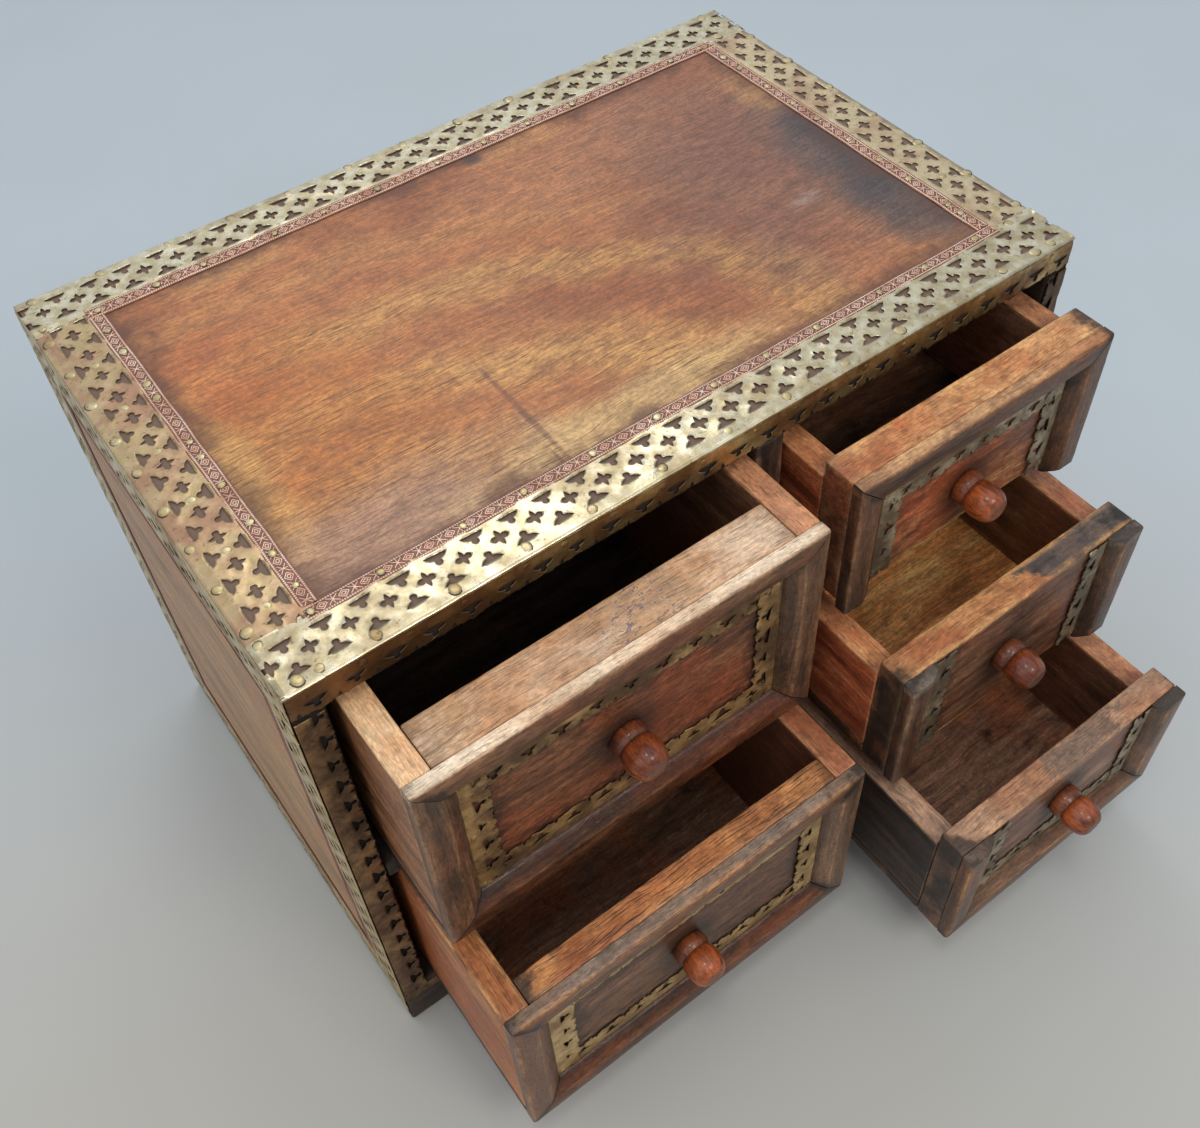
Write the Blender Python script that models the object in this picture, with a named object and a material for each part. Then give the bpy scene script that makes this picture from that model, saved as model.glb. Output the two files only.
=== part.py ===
"""Brass-bound chest of five drawers, modelled as separate boards, mouldings, knobs and metal strips.

Metres, +Z up. The origin is the centre of the base board's underside and the front faces -Y.
Every drawer stands part-open by its own amount, and slides along Y.
"""
import math
from collections import namedtuple

import bmesh
import bpy
from mathutils import Matrix, Vector

# Carcase boards
CARCASE_WIDTH = 0.400
CARCASE_DEPTH = 0.258
CARCASE_HEIGHT = 0.304
TOP_THICKNESS = 0.016
BASE_THICKNESS = 0.0305
SIDE_THICKNESS = 0.013
BACK_THICKNESS = 0.010
DIVIDER_THICKNESS = 0.015
LEFT_SHELF_THICKNESS = 0.011
RIGHT_SHELF_THICKNESS = 0.009

# Clear sizes of the compartments; the upper one of each column takes what is left
LEFT_COLUMN_WIDTH = 0.200
LOWER_LEFT_HEIGHT = 0.1185
LOWER_RIGHT_HEIGHT = 0.0755
MIDDLE_RIGHT_HEIGHT = 0.082

# Drawer boards
DRAWER_SIDE_THICKNESS = 0.0125
DRAWER_BACK_THICKNESS = 0.011
DRAWER_BOTTOM_THICKNESS = 0.007
BACK_BOARD_DROP = 0.004
LAPPED_SIDE_DROP = 0.010

# Moulding sticks on the drawer fronts: a flat outer band, then a bevel down to a thin inner edge
STICK_WIDTH = 0.019
STICK_FLAT_WIDTH = 0.0115
STICK_THICKNESS = 0.0065
STICK_INNER_EDGE = 0.0015
STICK_ROUNDING = 0.0012

# Turned knob: collar against the front, a narrow neck and a rounded head
KNOB_COLLAR_RADIUS = 0.0086
KNOB_COLLAR_LENGTH = 0.0070
KNOB_COLLAR_FACE = 0.0025
KNOB_NECK_RADIUS = 0.0064
KNOB_TIP_RADIUS = 0.0040
KNOB_HEAD_RADIUS = 0.0089
KNOB_HEAD_LENGTH = 0.0145
KNOB_SPIGOT_RADIUS = 0.0040
KNOB_SIDES = 28

# Metal strips on the top
BRASS_THICKNESS = 0.0012
BRASS_STRIP_WIDTH = 0.028
BRASS_FRONT_DROP = 0.0145
BRASS_SIDE_DROP = 0.028
COPPER_THICKNESS = 0.0006
COPPER_INSET = 0.023
COPPER_WIDTH = 0.0072

# Clearances
SEAM_GAP = 0.0003
RUNNING_GAP = 0.0003
DRAWER_LEFT_GAP = 0.005
DRAWER_RIGHT_GAP = 0.0015
DRAWER_END_GAP = 0.0025
SHELF_STOP_GAP = 0.001

# Levels and faces that follow from the sizes above
LEFT_FACE = -CARCASE_WIDTH / 2
RIGHT_FACE = CARCASE_WIDTH / 2
FRONT_FACE = -CARCASE_DEPTH / 2
BACK_FACE = CARCASE_DEPTH / 2
TOP_UNDERSIDE = CARCASE_HEIGHT - TOP_THICKNESS
INNER_LEFT = LEFT_FACE + SIDE_THICKNESS
INNER_RIGHT = RIGHT_FACE - SIDE_THICKNESS
INNER_BACK = BACK_FACE - BACK_THICKNESS
DIVIDER_LEFT = INNER_LEFT + LEFT_COLUMN_WIDTH
DIVIDER_RIGHT = DIVIDER_LEFT + DIVIDER_THICKNESS
LEFT_SHELF_LOW = BASE_THICKNESS + LOWER_LEFT_HEIGHT
LEFT_SHELF_TOP = LEFT_SHELF_LOW + LEFT_SHELF_THICKNESS
LOWER_SHELF_LOW = BASE_THICKNESS + LOWER_RIGHT_HEIGHT
LOWER_SHELF_TOP = LOWER_SHELF_LOW + RIGHT_SHELF_THICKNESS
UPPER_SHELF_LOW = LOWER_SHELF_TOP + MIDDLE_RIGHT_HEIGHT
UPPER_SHELF_TOP = UPPER_SHELF_LOW + RIGHT_SHELF_THICKNESS
DRAWER_LENGTH = CARCASE_DEPTH - BACK_THICKNESS - DRAWER_END_GAP
FRONT_BOARD_FACE = STICK_THICKNESS + SEAM_GAP

# The three right fronts meet in front of the shelves: the side sticks of the upper two hang below their
# boards, and the lowest board rises to a named gap under the sticks above it
UPPER_STICK_DROP = 0.0047
MIDDLE_STICK_DROP = 0.0017
FRONTS_GAP = 0.0006
LOWER_FRONT_RISE = RIGHT_SHELF_THICKNESS + RUNNING_GAP - MIDDLE_STICK_DROP - FRONTS_GAP

# What sets each drawer apart: its front board, the gap over it, how far it is pulled out, and how far its
# knob sits to the right of and above the middle of the panel
UPPER_LEFT_FRONT_THICKNESS = 0.022
UPPER_LEFT_HEAD_GAP = 0.006
UPPER_LEFT_PULLED = 0.048
UPPER_LEFT_KNOB_RIGHT = -0.0025
UPPER_LEFT_KNOB_UP = 0.0
LOWER_LEFT_FRONT_THICKNESS = 0.013
LOWER_LEFT_HEAD_GAP = 0.001
LOWER_LEFT_PULLED = 0.0886
LOWER_LEFT_KNOB_RIGHT = -0.002
LOWER_LEFT_KNOB_UP = 0.0
UPPER_RIGHT_FRONT_THICKNESS = 0.0165
UPPER_RIGHT_HEAD_GAP = 0.0035
UPPER_RIGHT_PULLED = 0.043
UPPER_RIGHT_KNOB_RIGHT = -0.001
UPPER_RIGHT_KNOB_UP = -0.004
MIDDLE_RIGHT_FRONT_THICKNESS = 0.015
MIDDLE_RIGHT_HEAD_GAP = 0.0035
MIDDLE_RIGHT_PULLED = 0.089
MIDDLE_RIGHT_KNOB_RIGHT = -0.003
MIDDLE_RIGHT_KNOB_UP = -0.001
LOWER_RIGHT_FRONT_THICKNESS = 0.014
LOWER_RIGHT_PULLED = 0.142
LOWER_RIGHT_KNOB_RIGHT = -0.001
LOWER_RIGHT_KNOB_UP = 0.0035

# One drawer: the compartment it runs in, the gap over its front (negative where the front rises past the
# shelf above), its front board, whether the front laps the ends of the sides, how far it is pulled out, its
# moulding sticks, how far the side sticks hang below the front board, and the knob's place
Drawer = namedtuple("Drawer", "name column floor ceiling head_gap front_thickness lapped pulled sticks "
                              "overhang knob_right knob_up")

ALL_STICKS = ("top", "bottom", "left", "right")
DRAWERS = (
    Drawer("upper_left", "left", LEFT_SHELF_TOP, TOP_UNDERSIDE, UPPER_LEFT_HEAD_GAP,
           UPPER_LEFT_FRONT_THICKNESS, False, UPPER_LEFT_PULLED, ALL_STICKS, 0.0,
           UPPER_LEFT_KNOB_RIGHT, UPPER_LEFT_KNOB_UP),
    Drawer("lower_left", "left", BASE_THICKNESS, LEFT_SHELF_LOW, LOWER_LEFT_HEAD_GAP,
           LOWER_LEFT_FRONT_THICKNESS, False, LOWER_LEFT_PULLED, ALL_STICKS, 0.0,
           LOWER_LEFT_KNOB_RIGHT, LOWER_LEFT_KNOB_UP),
    Drawer("upper_right", "right", UPPER_SHELF_TOP, TOP_UNDERSIDE, UPPER_RIGHT_HEAD_GAP,
           UPPER_RIGHT_FRONT_THICKNESS, True, UPPER_RIGHT_PULLED, ("top", "left", "right"), UPPER_STICK_DROP,
           UPPER_RIGHT_KNOB_RIGHT, UPPER_RIGHT_KNOB_UP),
    Drawer("middle_right", "right", LOWER_SHELF_TOP, UPPER_SHELF_LOW, MIDDLE_RIGHT_HEAD_GAP,
           MIDDLE_RIGHT_FRONT_THICKNESS, True, MIDDLE_RIGHT_PULLED, ("left", "right"), MIDDLE_STICK_DROP,
           MIDDLE_RIGHT_KNOB_RIGHT, MIDDLE_RIGHT_KNOB_UP),
    Drawer("lower_right", "right", BASE_THICKNESS, LOWER_SHELF_LOW, -LOWER_FRONT_RISE,
           LOWER_RIGHT_FRONT_THICKNESS, True, LOWER_RIGHT_PULLED, ("bottom", "left", "right"), 0.0,
           LOWER_RIGHT_KNOB_RIGHT, LOWER_RIGHT_KNOB_UP),
)
THICKEST_LAPPED_FRONT = max(drawer.front_thickness for drawer in DRAWERS if drawer.lapped)
RIGHT_SHELF_FRONT = FRONT_FACE + FRONT_BOARD_FACE + THICKEST_LAPPED_FRONT + SHELF_STOP_GAP

X_AXIS = Vector((1, 0, 0))
Y_AXIS = Vector((0, 1, 0))
Z_AXIS = Vector((0, 0, 1))


def clear_scene():
    """Take every object out of the open file."""
    for item in list(bpy.data.objects):
        bpy.data.objects.remove(item, do_unlink=True)


def make_material(name, colour, roughness, metallic=0.0):
    """Principled material with one colour, roughness and metallic value."""
    material = bpy.data.materials.new(name)
    material.use_nodes = True
    shader = material.node_tree.nodes["Principled BSDF"]
    shader.inputs["Base Color"].default_value = (*colour, 1.0)
    shader.inputs["Roughness"].default_value = roughness
    shader.inputs["Metallic"].default_value = metallic
    material.diffuse_color = (*colour, 1.0)
    return material


def add_piece(name, shape, material, parent, location, smooth=False):
    """Turn a finished bmesh into a named object at a place under its parent."""
    bmesh.ops.recalc_face_normals(shape, faces=shape.faces)
    mesh = bpy.data.meshes.new(name)
    shape.to_mesh(mesh)
    shape.free()
    mesh.materials.append(material)
    if smooth:
        mesh.shade_smooth()
        mesh.set_sharp_from_angle(angle=math.radians(40))
    piece = bpy.data.objects.new(name, mesh)
    bpy.context.collection.objects.link(piece)
    piece.parent = parent
    piece.location = location
    return piece


def add_board(name, low, high, material, parent):
    """Rectangular board between two opposite corners, with its origin at its centre."""
    low = Vector(low)
    high = Vector(high)
    shape = bmesh.new()
    bmesh.ops.create_cube(shape, size=1.0, matrix=Matrix.Diagonal((*(high - low), 1.0)))
    return add_piece(name, shape, material, parent, (low + high) / 2)


def add_sweep(name, profile, start, along, length, across, out, mitres, material, parent):
    """Carry a profile of (across, out) points along a straight run.

    Each end is cut square, or at 45 degrees where its mitre is 1, so that the run gets shorter across.
    """
    shape = bmesh.new()
    rings = []
    for base, slope in ((0.0, mitres[0]), (length, -mitres[1])):
        ring = [shape.verts.new(along * (base + slope * a) + across * a + out * b) for a, b in profile]
        rings.append(ring)
    shape.faces.new(rings[0])
    shape.faces.new(rings[1])
    count = len(profile)
    for i in range(count):
        j = (i + 1) % count
        shape.faces.new((rings[0][i], rings[0][j], rings[1][j], rings[1][i]))
    return add_piece(name, shape, material, parent, start)


def add_turning(name, profile, material, parent, location):
    """Turn a profile of (radius, height) points about Y; height runs along -Y, ends on the axis."""
    shape = bmesh.new()
    points = [shape.verts.new((radius, -height, 0.0)) for radius, height in profile]
    edges = [shape.edges.new(pair) for pair in zip(points, points[1:])]
    bmesh.ops.spin(shape, geom=points + edges, cent=(0, 0, 0), axis=Y_AXIS, angle=math.tau, steps=KNOB_SIDES,
                   use_duplicate=False)
    bmesh.ops.remove_doubles(shape, verts=shape.verts, dist=1e-6)
    return add_piece(name, shape, material, parent, location, smooth=True)


def bore_hole(board, name, radius, length, location):
    """Cut a round hole along Y through a board, with a hidden cutter that rides with it."""
    shape = bmesh.new()
    bmesh.ops.create_cone(shape, cap_ends=True, segments=KNOB_SIDES, radius1=radius, radius2=radius,
                          depth=length, matrix=Matrix.Rotation(math.pi / 2, 4, X_AXIS))
    cutter = add_piece(name, shape, board.data.materials[0], board.parent, location)
    cutter.hide_render = True
    cutter.display_type = "WIRE"
    cut = board.modifiers.new("knob_bore", "BOOLEAN")
    cut.operation = "DIFFERENCE"
    cut.object = cutter


def stick_profile():
    """Moulding section as (across, out) points: rounded outer corner, flat band, bevel, thin inner edge."""
    return (
        (0.0, 0.0),
        (0.0, STICK_THICKNESS - STICK_ROUNDING),
        (STICK_ROUNDING, STICK_THICKNESS),
        (STICK_FLAT_WIDTH, STICK_THICKNESS),
        (STICK_WIDTH, STICK_INNER_EDGE),
        (STICK_WIDTH, 0.0),
    )


def knob_profile(spigot_length):
    """Half-outline of a knob as (radius, height) points, height 0 where its collar meets the front board.

    The collar bulges and falls to the neck in a quarter turn, and the head swells out of the neck along an
    ellipse and ends in a broad, flat tip.
    """
    points = [
        (0.0, -spigot_length),
        (KNOB_SPIGOT_RADIUS, -spigot_length),
        (KNOB_SPIGOT_RADIUS, SEAM_GAP),
        (KNOB_COLLAR_RADIUS, SEAM_GAP),
    ]
    collar_steps = 4
    for i in range(collar_steps + 1):
        turn = i / collar_steps * math.pi / 2
        radius = KNOB_NECK_RADIUS + (KNOB_COLLAR_RADIUS - KNOB_NECK_RADIUS) * math.cos(turn)
        points.append((radius, KNOB_COLLAR_FACE + (KNOB_COLLAR_LENGTH - KNOB_COLLAR_FACE) * math.sin(turn)))
    head_steps = 9
    first_turn = math.asin(KNOB_NECK_RADIUS / KNOB_HEAD_RADIUS)
    last_turn = math.pi - math.asin(KNOB_TIP_RADIUS / KNOB_HEAD_RADIUS)
    for i in range(1, head_steps + 1):
        turn = first_turn + (last_turn - first_turn) * i / head_steps
        share = (math.cos(first_turn) - math.cos(turn)) / (math.cos(first_turn) - math.cos(last_turn))
        points.append((KNOB_HEAD_RADIUS * math.sin(turn), KNOB_COLLAR_LENGTH + KNOB_HEAD_LENGTH * share))
    points.append((0.0, KNOB_COLLAR_LENGTH + KNOB_HEAD_LENGTH))
    return points


def build_carcase(wood, top_wood):
    """The fixed boards: base, sides, back, divider and shelves, with the top board over all."""
    low = BASE_THICKNESS + SEAM_GAP
    high = TOP_UNDERSIDE - SEAM_GAP
    add_board("base_board", (LEFT_FACE, FRONT_FACE, 0), (RIGHT_FACE, BACK_FACE, BASE_THICKNESS), wood, None)
    add_board("top_board", (LEFT_FACE, FRONT_FACE, TOP_UNDERSIDE), (RIGHT_FACE, BACK_FACE, CARCASE_HEIGHT),
              top_wood, None)
    add_board("left_side", (LEFT_FACE, FRONT_FACE, low), (INNER_LEFT, BACK_FACE, high), wood, None)
    add_board("right_side", (INNER_RIGHT, FRONT_FACE, low), (RIGHT_FACE, BACK_FACE, high), wood, None)
    add_board("back_panel", (INNER_LEFT + SEAM_GAP, INNER_BACK, low),
              (INNER_RIGHT - SEAM_GAP, BACK_FACE, high), wood, None)
    shelf_back = INNER_BACK - SEAM_GAP
    add_board("column_divider", (DIVIDER_LEFT, FRONT_FACE, low), (DIVIDER_RIGHT, shelf_back, high),
              wood, None)
    add_board("left_shelf", (INNER_LEFT + SEAM_GAP, FRONT_FACE, LEFT_SHELF_LOW),
              (DIVIDER_LEFT - SEAM_GAP, shelf_back, LEFT_SHELF_TOP), wood, None)
    right_shelves = (("right_lower_shelf", LOWER_SHELF_LOW), ("right_upper_shelf", UPPER_SHELF_LOW))
    for name, shelf_low in right_shelves:
        add_board(name, (DIVIDER_RIGHT + SEAM_GAP, RIGHT_SHELF_FRONT, shelf_low),
                  (INNER_RIGHT - SEAM_GAP, shelf_back, shelf_low + RIGHT_SHELF_THICKNESS), wood, None)


def build_drawer_box(drawer, width, height, slide, wood, front_wood):
    """Front, sides, back and bottom of a drawer, in the slide's own frame.

    A lapped front covers the ends of lower sides and of the bottom; otherwise the front sits between the
    sides, and all four walls stand on the bottom.
    """
    half = width / 2
    face = FRONT_BOARD_FACE
    front_back = face + drawer.front_thickness
    wall_low = DRAWER_BOTTOM_THICKNESS + SEAM_GAP
    inner = half - DRAWER_SIDE_THICKNESS
    if drawer.lapped:
        front_half = half
        front_low = 0.0
        body_face = front_back + SEAM_GAP
        side_top = height - LAPPED_SIDE_DROP
    else:
        front_half = inner - SEAM_GAP
        front_low = wall_low
        body_face = face
        side_top = height
    front = add_board(drawer.name + "_front", (-front_half, face, front_low),
                      (front_half, front_back, height), front_wood, slide)
    add_board(drawer.name + "_left_side", (-half, body_face, wall_low), (-inner, DRAWER_LENGTH, side_top),
              wood, slide)
    add_board(drawer.name + "_right_side", (inner, body_face, wall_low), (half, DRAWER_LENGTH, side_top),
              wood, slide)
    back_half = inner - SEAM_GAP
    add_board(drawer.name + "_back", (-back_half, DRAWER_LENGTH - DRAWER_BACK_THICKNESS, wall_low),
              (back_half, DRAWER_LENGTH, side_top - BACK_BOARD_DROP), wood, slide)
    add_board(drawer.name + "_bottom", (-half, body_face, 0),
              (half, DRAWER_LENGTH, DRAWER_BOTTOM_THICKNESS), wood, slide)
    return front


def build_moulding(drawer, width, height, slide, wood):
    """The sticks of one drawer front; sticks that meet are mitred, and a free end is cut square."""
    half = width / 2
    has_top = "top" in drawer.sticks
    has_bottom = "bottom" in drawer.sticks
    low = -drawer.overhang
    profile = stick_profile()
    board_plane = STICK_THICKNESS
    level_length = width - 2 * SEAM_GAP
    if has_top:
        add_sweep(drawer.name + "_top_stick", profile, Vector((-half + SEAM_GAP, board_plane, height)),
                  X_AXIS, level_length, -Z_AXIS, -Y_AXIS, (1, 1), wood, slide)
    if has_bottom:
        add_sweep(drawer.name + "_bottom_stick", profile, Vector((-half + SEAM_GAP, board_plane, low)),
                  X_AXIS, level_length, Z_AXIS, -Y_AXIS, (1, 1), wood, slide)
    mitres = (int(has_bottom), int(has_top))
    foot = low + SEAM_GAP * mitres[0]
    rise = height - SEAM_GAP * mitres[1] - foot
    add_sweep(drawer.name + "_left_stick", profile, Vector((-half, board_plane, foot)), Z_AXIS, rise,
              X_AXIS, -Y_AXIS, mitres, wood, slide)
    add_sweep(drawer.name + "_right_stick", profile, Vector((half, board_plane, foot)), Z_AXIS, rise,
              -X_AXIS, -Y_AXIS, mitres, wood, slide)


def build_drawer(drawer, wood, front_wood, moulding_wood, knob_wood):
    """One drawer on its slide; the slide's place is the middle of the moulding's lower front edge."""
    if drawer.column == "left":
        opening = (INNER_LEFT, DIVIDER_LEFT)
    else:
        opening = (DIVIDER_RIGHT, INNER_RIGHT)
    left = opening[0] + DRAWER_LEFT_GAP
    right = opening[1] - DRAWER_RIGHT_GAP
    width = right - left
    height = drawer.ceiling - drawer.head_gap - drawer.floor - RUNNING_GAP
    slide = bpy.data.objects.new(drawer.name + "_slide", None)
    bpy.context.collection.objects.link(slide)
    slide.location = ((left + right) / 2, FRONT_FACE - drawer.pulled, drawer.floor + RUNNING_GAP)
    front = build_drawer_box(drawer, width, height, slide, wood, front_wood)
    build_moulding(drawer, width, height, slide, moulding_wood)
    panel_low = STICK_WIDTH if "bottom" in drawer.sticks else 0.0
    panel_high = height - STICK_WIDTH if "top" in drawer.sticks else height
    knob_height = (panel_low + panel_high) / 2 + drawer.knob_up
    knob_place = Vector((drawer.knob_right, FRONT_BOARD_FACE, knob_height))
    add_turning(drawer.name + "_knob", knob_profile(drawer.front_thickness), knob_wood, slide, knob_place)
    bore_place = knob_place + Y_AXIS * drawer.front_thickness / 2
    bore_hole(front, drawer.name + "_bore_cutter", KNOB_SPIGOT_RADIUS + SEAM_GAP, 2 * drawer.front_thickness,
              bore_place)


def angle_strip_profile(drop):
    """Section of a strip bent over an edge: across is inward along the top, out is upward from the wood."""
    inner = SEAM_GAP
    outer = SEAM_GAP + BRASS_THICKNESS
    return (
        (BRASS_STRIP_WIDTH, inner),
        (BRASS_STRIP_WIDTH, outer),
        (-outer, outer),
        (-outer, -drop),
        (-inner, -drop),
        (-inner, inner),
    )


def build_metal(brass, copper):
    """Brass strips bent over the four edges of the top, and the copper border over their inner edges."""
    side_start = BACK_FACE - BRASS_STRIP_WIDTH - SEAM_GAP
    side_length = CARCASE_DEPTH - 2 * (BRASS_STRIP_WIDTH + SEAM_GAP)
    front_profile = angle_strip_profile(BRASS_FRONT_DROP)
    side_profile = angle_strip_profile(BRASS_SIDE_DROP)
    add_sweep("brass_front_strip", front_profile, Vector((LEFT_FACE, FRONT_FACE, CARCASE_HEIGHT)), X_AXIS,
              CARCASE_WIDTH, Y_AXIS, Z_AXIS, (0, 0), brass, None)
    add_sweep("brass_back_strip", front_profile, Vector((LEFT_FACE, BACK_FACE, CARCASE_HEIGHT)), X_AXIS,
              CARCASE_WIDTH, -Y_AXIS, Z_AXIS, (0, 0), brass, None)
    add_sweep("brass_left_strip", side_profile, Vector((LEFT_FACE, side_start, CARCASE_HEIGHT)), -Y_AXIS,
              side_length, X_AXIS, Z_AXIS, (0, 0), brass, None)
    add_sweep("brass_right_strip", side_profile, Vector((RIGHT_FACE, side_start, CARCASE_HEIGHT)), -Y_AXIS,
              side_length, -X_AXIS, Z_AXIS, (0, 0), brass, None)
    outer = (CARCASE_WIDTH / 2 - COPPER_INSET, CARCASE_DEPTH / 2 - COPPER_INSET)
    inner = (outer[0] - COPPER_WIDTH, outer[1] - COPPER_WIDTH)
    corners = ((-1, -1), (1, -1), (1, 1), (-1, 1))
    shape = bmesh.new()
    rings = []
    for level in (0.0, COPPER_THICKNESS):
        for reach in (outer, inner):
            rings.append([shape.verts.new((reach[0] * sx, reach[1] * sy, level)) for sx, sy in corners])
    low_outer, low_inner, high_outer, high_inner = rings
    circuit = (low_outer, low_inner, high_inner, high_outer, low_outer)
    for first, second in zip(circuit, circuit[1:]):
        for i in range(len(corners)):
            j = (i + 1) % len(corners)
            shape.faces.new((first[i], first[j], second[j], second[i]))
    copper_level = CARCASE_HEIGHT + 2 * SEAM_GAP + BRASS_THICKNESS
    add_piece("copper_border", shape, copper, None, Vector((0, 0, copper_level)))


def main():
    clear_scene()
    top_wood = make_material("top_wood", (0.34, 0.14, 0.05), 0.45)
    carcase_wood = make_material("carcase_wood", (0.16, 0.075, 0.035), 0.6)
    drawer_wood = make_material("drawer_wood", (0.20, 0.085, 0.035), 0.6)
    front_wood = make_material("drawer_front_wood", (0.17, 0.06, 0.03), 0.5)
    moulding_wood = make_material("moulding_wood", (0.13, 0.07, 0.045), 0.5)
    knob_wood = make_material("knob_wood", (0.17, 0.05, 0.025), 0.3)
    brass = make_material("brass", (0.62, 0.50, 0.22), 0.35, 1.0)
    copper = make_material("copper", (0.62, 0.32, 0.24), 0.4, 1.0)
    build_carcase(carcase_wood, top_wood)
    for drawer in DRAWERS:
        build_drawer(drawer, drawer_wood, front_wood, moulding_wood, knob_wood)
    build_metal(brass, copper)


main()
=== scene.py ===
"""Looks of a brass-bound tabletop chest of five drawers.

Worn boards, mouldings and knobs, pierced sheet brass, stamped copper strips and tacks are numpy surfaces
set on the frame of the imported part. Metres, +Z up, the drawer fronts face -Y.
"""

import math

import bmesh
import bpy
import numpy as np
from mathutils import Euler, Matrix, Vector


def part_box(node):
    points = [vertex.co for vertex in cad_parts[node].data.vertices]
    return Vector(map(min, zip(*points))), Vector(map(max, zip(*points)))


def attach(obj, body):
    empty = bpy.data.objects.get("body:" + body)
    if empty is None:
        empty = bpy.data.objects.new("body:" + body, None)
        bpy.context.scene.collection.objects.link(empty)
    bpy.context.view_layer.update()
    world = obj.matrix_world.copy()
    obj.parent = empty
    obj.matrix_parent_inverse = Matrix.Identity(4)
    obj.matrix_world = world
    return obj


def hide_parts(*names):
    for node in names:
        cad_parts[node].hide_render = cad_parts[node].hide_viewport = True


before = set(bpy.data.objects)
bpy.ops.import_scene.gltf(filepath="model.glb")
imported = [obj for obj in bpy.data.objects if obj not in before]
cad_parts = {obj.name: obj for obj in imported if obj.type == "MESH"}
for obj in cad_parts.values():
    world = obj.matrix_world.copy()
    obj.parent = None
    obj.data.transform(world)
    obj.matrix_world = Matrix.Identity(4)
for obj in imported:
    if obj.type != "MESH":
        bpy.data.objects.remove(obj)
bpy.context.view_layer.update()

X = np.array((1.0, 0.0, 0.0))
Y = np.array((0.0, 1.0, 0.0))
Z = np.array((0.0, 0.0, 1.0))
TURN = 2 * math.pi
MM = 0.001

# The photograph's camera: image size, focal length and middle in pixels, sensor in mm, place and angles
IMAGE_WIDTH = 1200
IMAGE_HEIGHT = 1128
FOCAL_PIXELS = 1327.0
MIDDLE_PIXEL = (628.3, 500.6)
SENSOR_WIDTH = 36.0
CAMERA_PLACE = (-0.2441, -0.4003, 0.6875)
CAMERA_ANGLES = (40.76, 1.45, -36.89)

# The chest's outer side faces
SIDE_FACE = 200 * MM

# Worn boards: distance of sections, flat band beside each edge, steps round an edge, rounding and how it
# wavers, distance, spread and depth of chips, reach of grime from the ends, depth of rubbed tops and of dark
# inner faces
BOARD_STATION = 6 * MM
BOARD_BAND = 3.5 * MM
ARC_STEPS = 3
BOARD_ROUNDING = 0.9 * MM
EDGE_WAVER = 0.35
EDGE_WAVELENGTH = 50 * MM
CHIP_SPACING = 60 * MM
CHIP_SPREAD = (2 * MM, 7 * MM)
CHIP_DEPTH = (0.1, 0.9)
BOARD_GRIME = 9 * MM
BOARD_RUB = (1.1 * MM, 0.7 * MM)
INNER_FACE = 0.3 * MM

# Moulding sticks, as in the solids: a flat outer band, then a bevel down to a thin inner edge. Each side's
# stick has an axis along it and one across it to the panel. Then distance of sections, reach of grime from the
# ends, depth of rubbed tops, width of the painted shade in the crease at the panel, height and length of the
# waves of wear
STICK_WIDTH = 19 * MM
STICK_FLAT_WIDTH = 11.5 * MM
STICK_THICKNESS = 6.5 * MM
STICK_INNER_EDGE = 1.5 * MM
STICK_AXES = {"top": (X, -Z), "bottom": (X, Z), "left": (Z, X), "right": (Z, -X)}
STICK_STATION = 5 * MM
STICK_GRIME = 6 * MM
STICK_RUB = (0.6 * MM, 0.5 * MM)
STICK_CREASE_SHADE = (2.4 * MM, 1.6 * MM)
STICK_WEAR = ((0.14 * MM, 30 * MM), (0.10 * MM, 9 * MM))
PANEL_INSET = STICK_WIDTH - 1.0 * MM
FAR_RIM = 100 * MM

# Pierced sheet: a row of stars between two rows of trefoils whose flat bases lie towards the margins
SHEET_PITCH = 15.93 * MM
SHEET_STAR_ROW = 14.3 * MM
SHEET_MARGIN = 6.5 * MM
SHEET_TILE_CORNER = 9.2 * MM
SHEET_FOLD = np.array((0.0, 0.3, 0.7, 1.3)) * MM
SHEET_THICKNESS = 0.3 * MM
SHEET_LEVEL = 0.50 * MM
SHEET_LAP = 0.45 * MM
SHEET_DENTS = ((0.08 * MM, 16 * MM), (0.04 * MM, 6 * MM))
HOLE_LIP = 0.22
HOLE_RISE = 0.06 * MM
HOLE_TWIST = 0.035
HOLE_SPREAD = 0.045
HOLE_SHIFT = 0.10 * MM
HOLE_JAGS = 0.03
STAR_LOBE_PLACE = 2.0 * MM
STAR_LOBE_RADIUS = 1.45 * MM
STAR_TIP = 3.9 * MM
TREFOIL_HALF_BASE = 4.8 * MM
TREFOIL_CENTRE = 1.5 * MM
TREFOIL_LOBE_PLACE = 2.1 * MM
TREFOIL_LOBE_RADIUS = 1.50 * MM

# Stamped copper strip: its sizes, the grid it is drawn on, and its beads, lines and two lozenges
COPPER_HALF_WIDTH = 3.6 * MM
COPPER_BASE = 0.25 * MM
COPPER_PERIOD = 9.0 * MM
COPPER_BEAD_PITCH = 1.06 * MM
COPPER_STEP = 0.21 * MM
COPPER_RELIEF = 0.25 * MM
COPPER_BEAD_PLACE = 2.7 * MM
COPPER_BEAD_HALF = 0.52 * MM
COPPER_FIELD = 1.95 * MM
COPPER_LINE = 0.19 * MM
COPPER_LOZENGES = ((2.3 * MM, 1.8 * MM, 1.4 * MM), (1.1 * MM, 0.8 * MM, 0.65 * MM))

# Tacks: sizes, and a profile of shares of the radius, shares of the height and dirt
TACK_RADIUS = 2.4 * MM
TACK_HEIGHT = 0.40 * MM
TACK_SIDES = 12
TACK_PROFILE = ((1.17, -0.5, 1.0), (1.15, 0.08, 1.0), (1.02, 0.12, 1.0), (0.90, 0.72, 0.2), (0.50, 1.0, 0.0))
DRAWER_TACK_RADIUS = 1.4 * MM
DRAWER_TACK_END = 4 * MM
DRAWER_TACK_PLACE = 3.4 * MM

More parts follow.
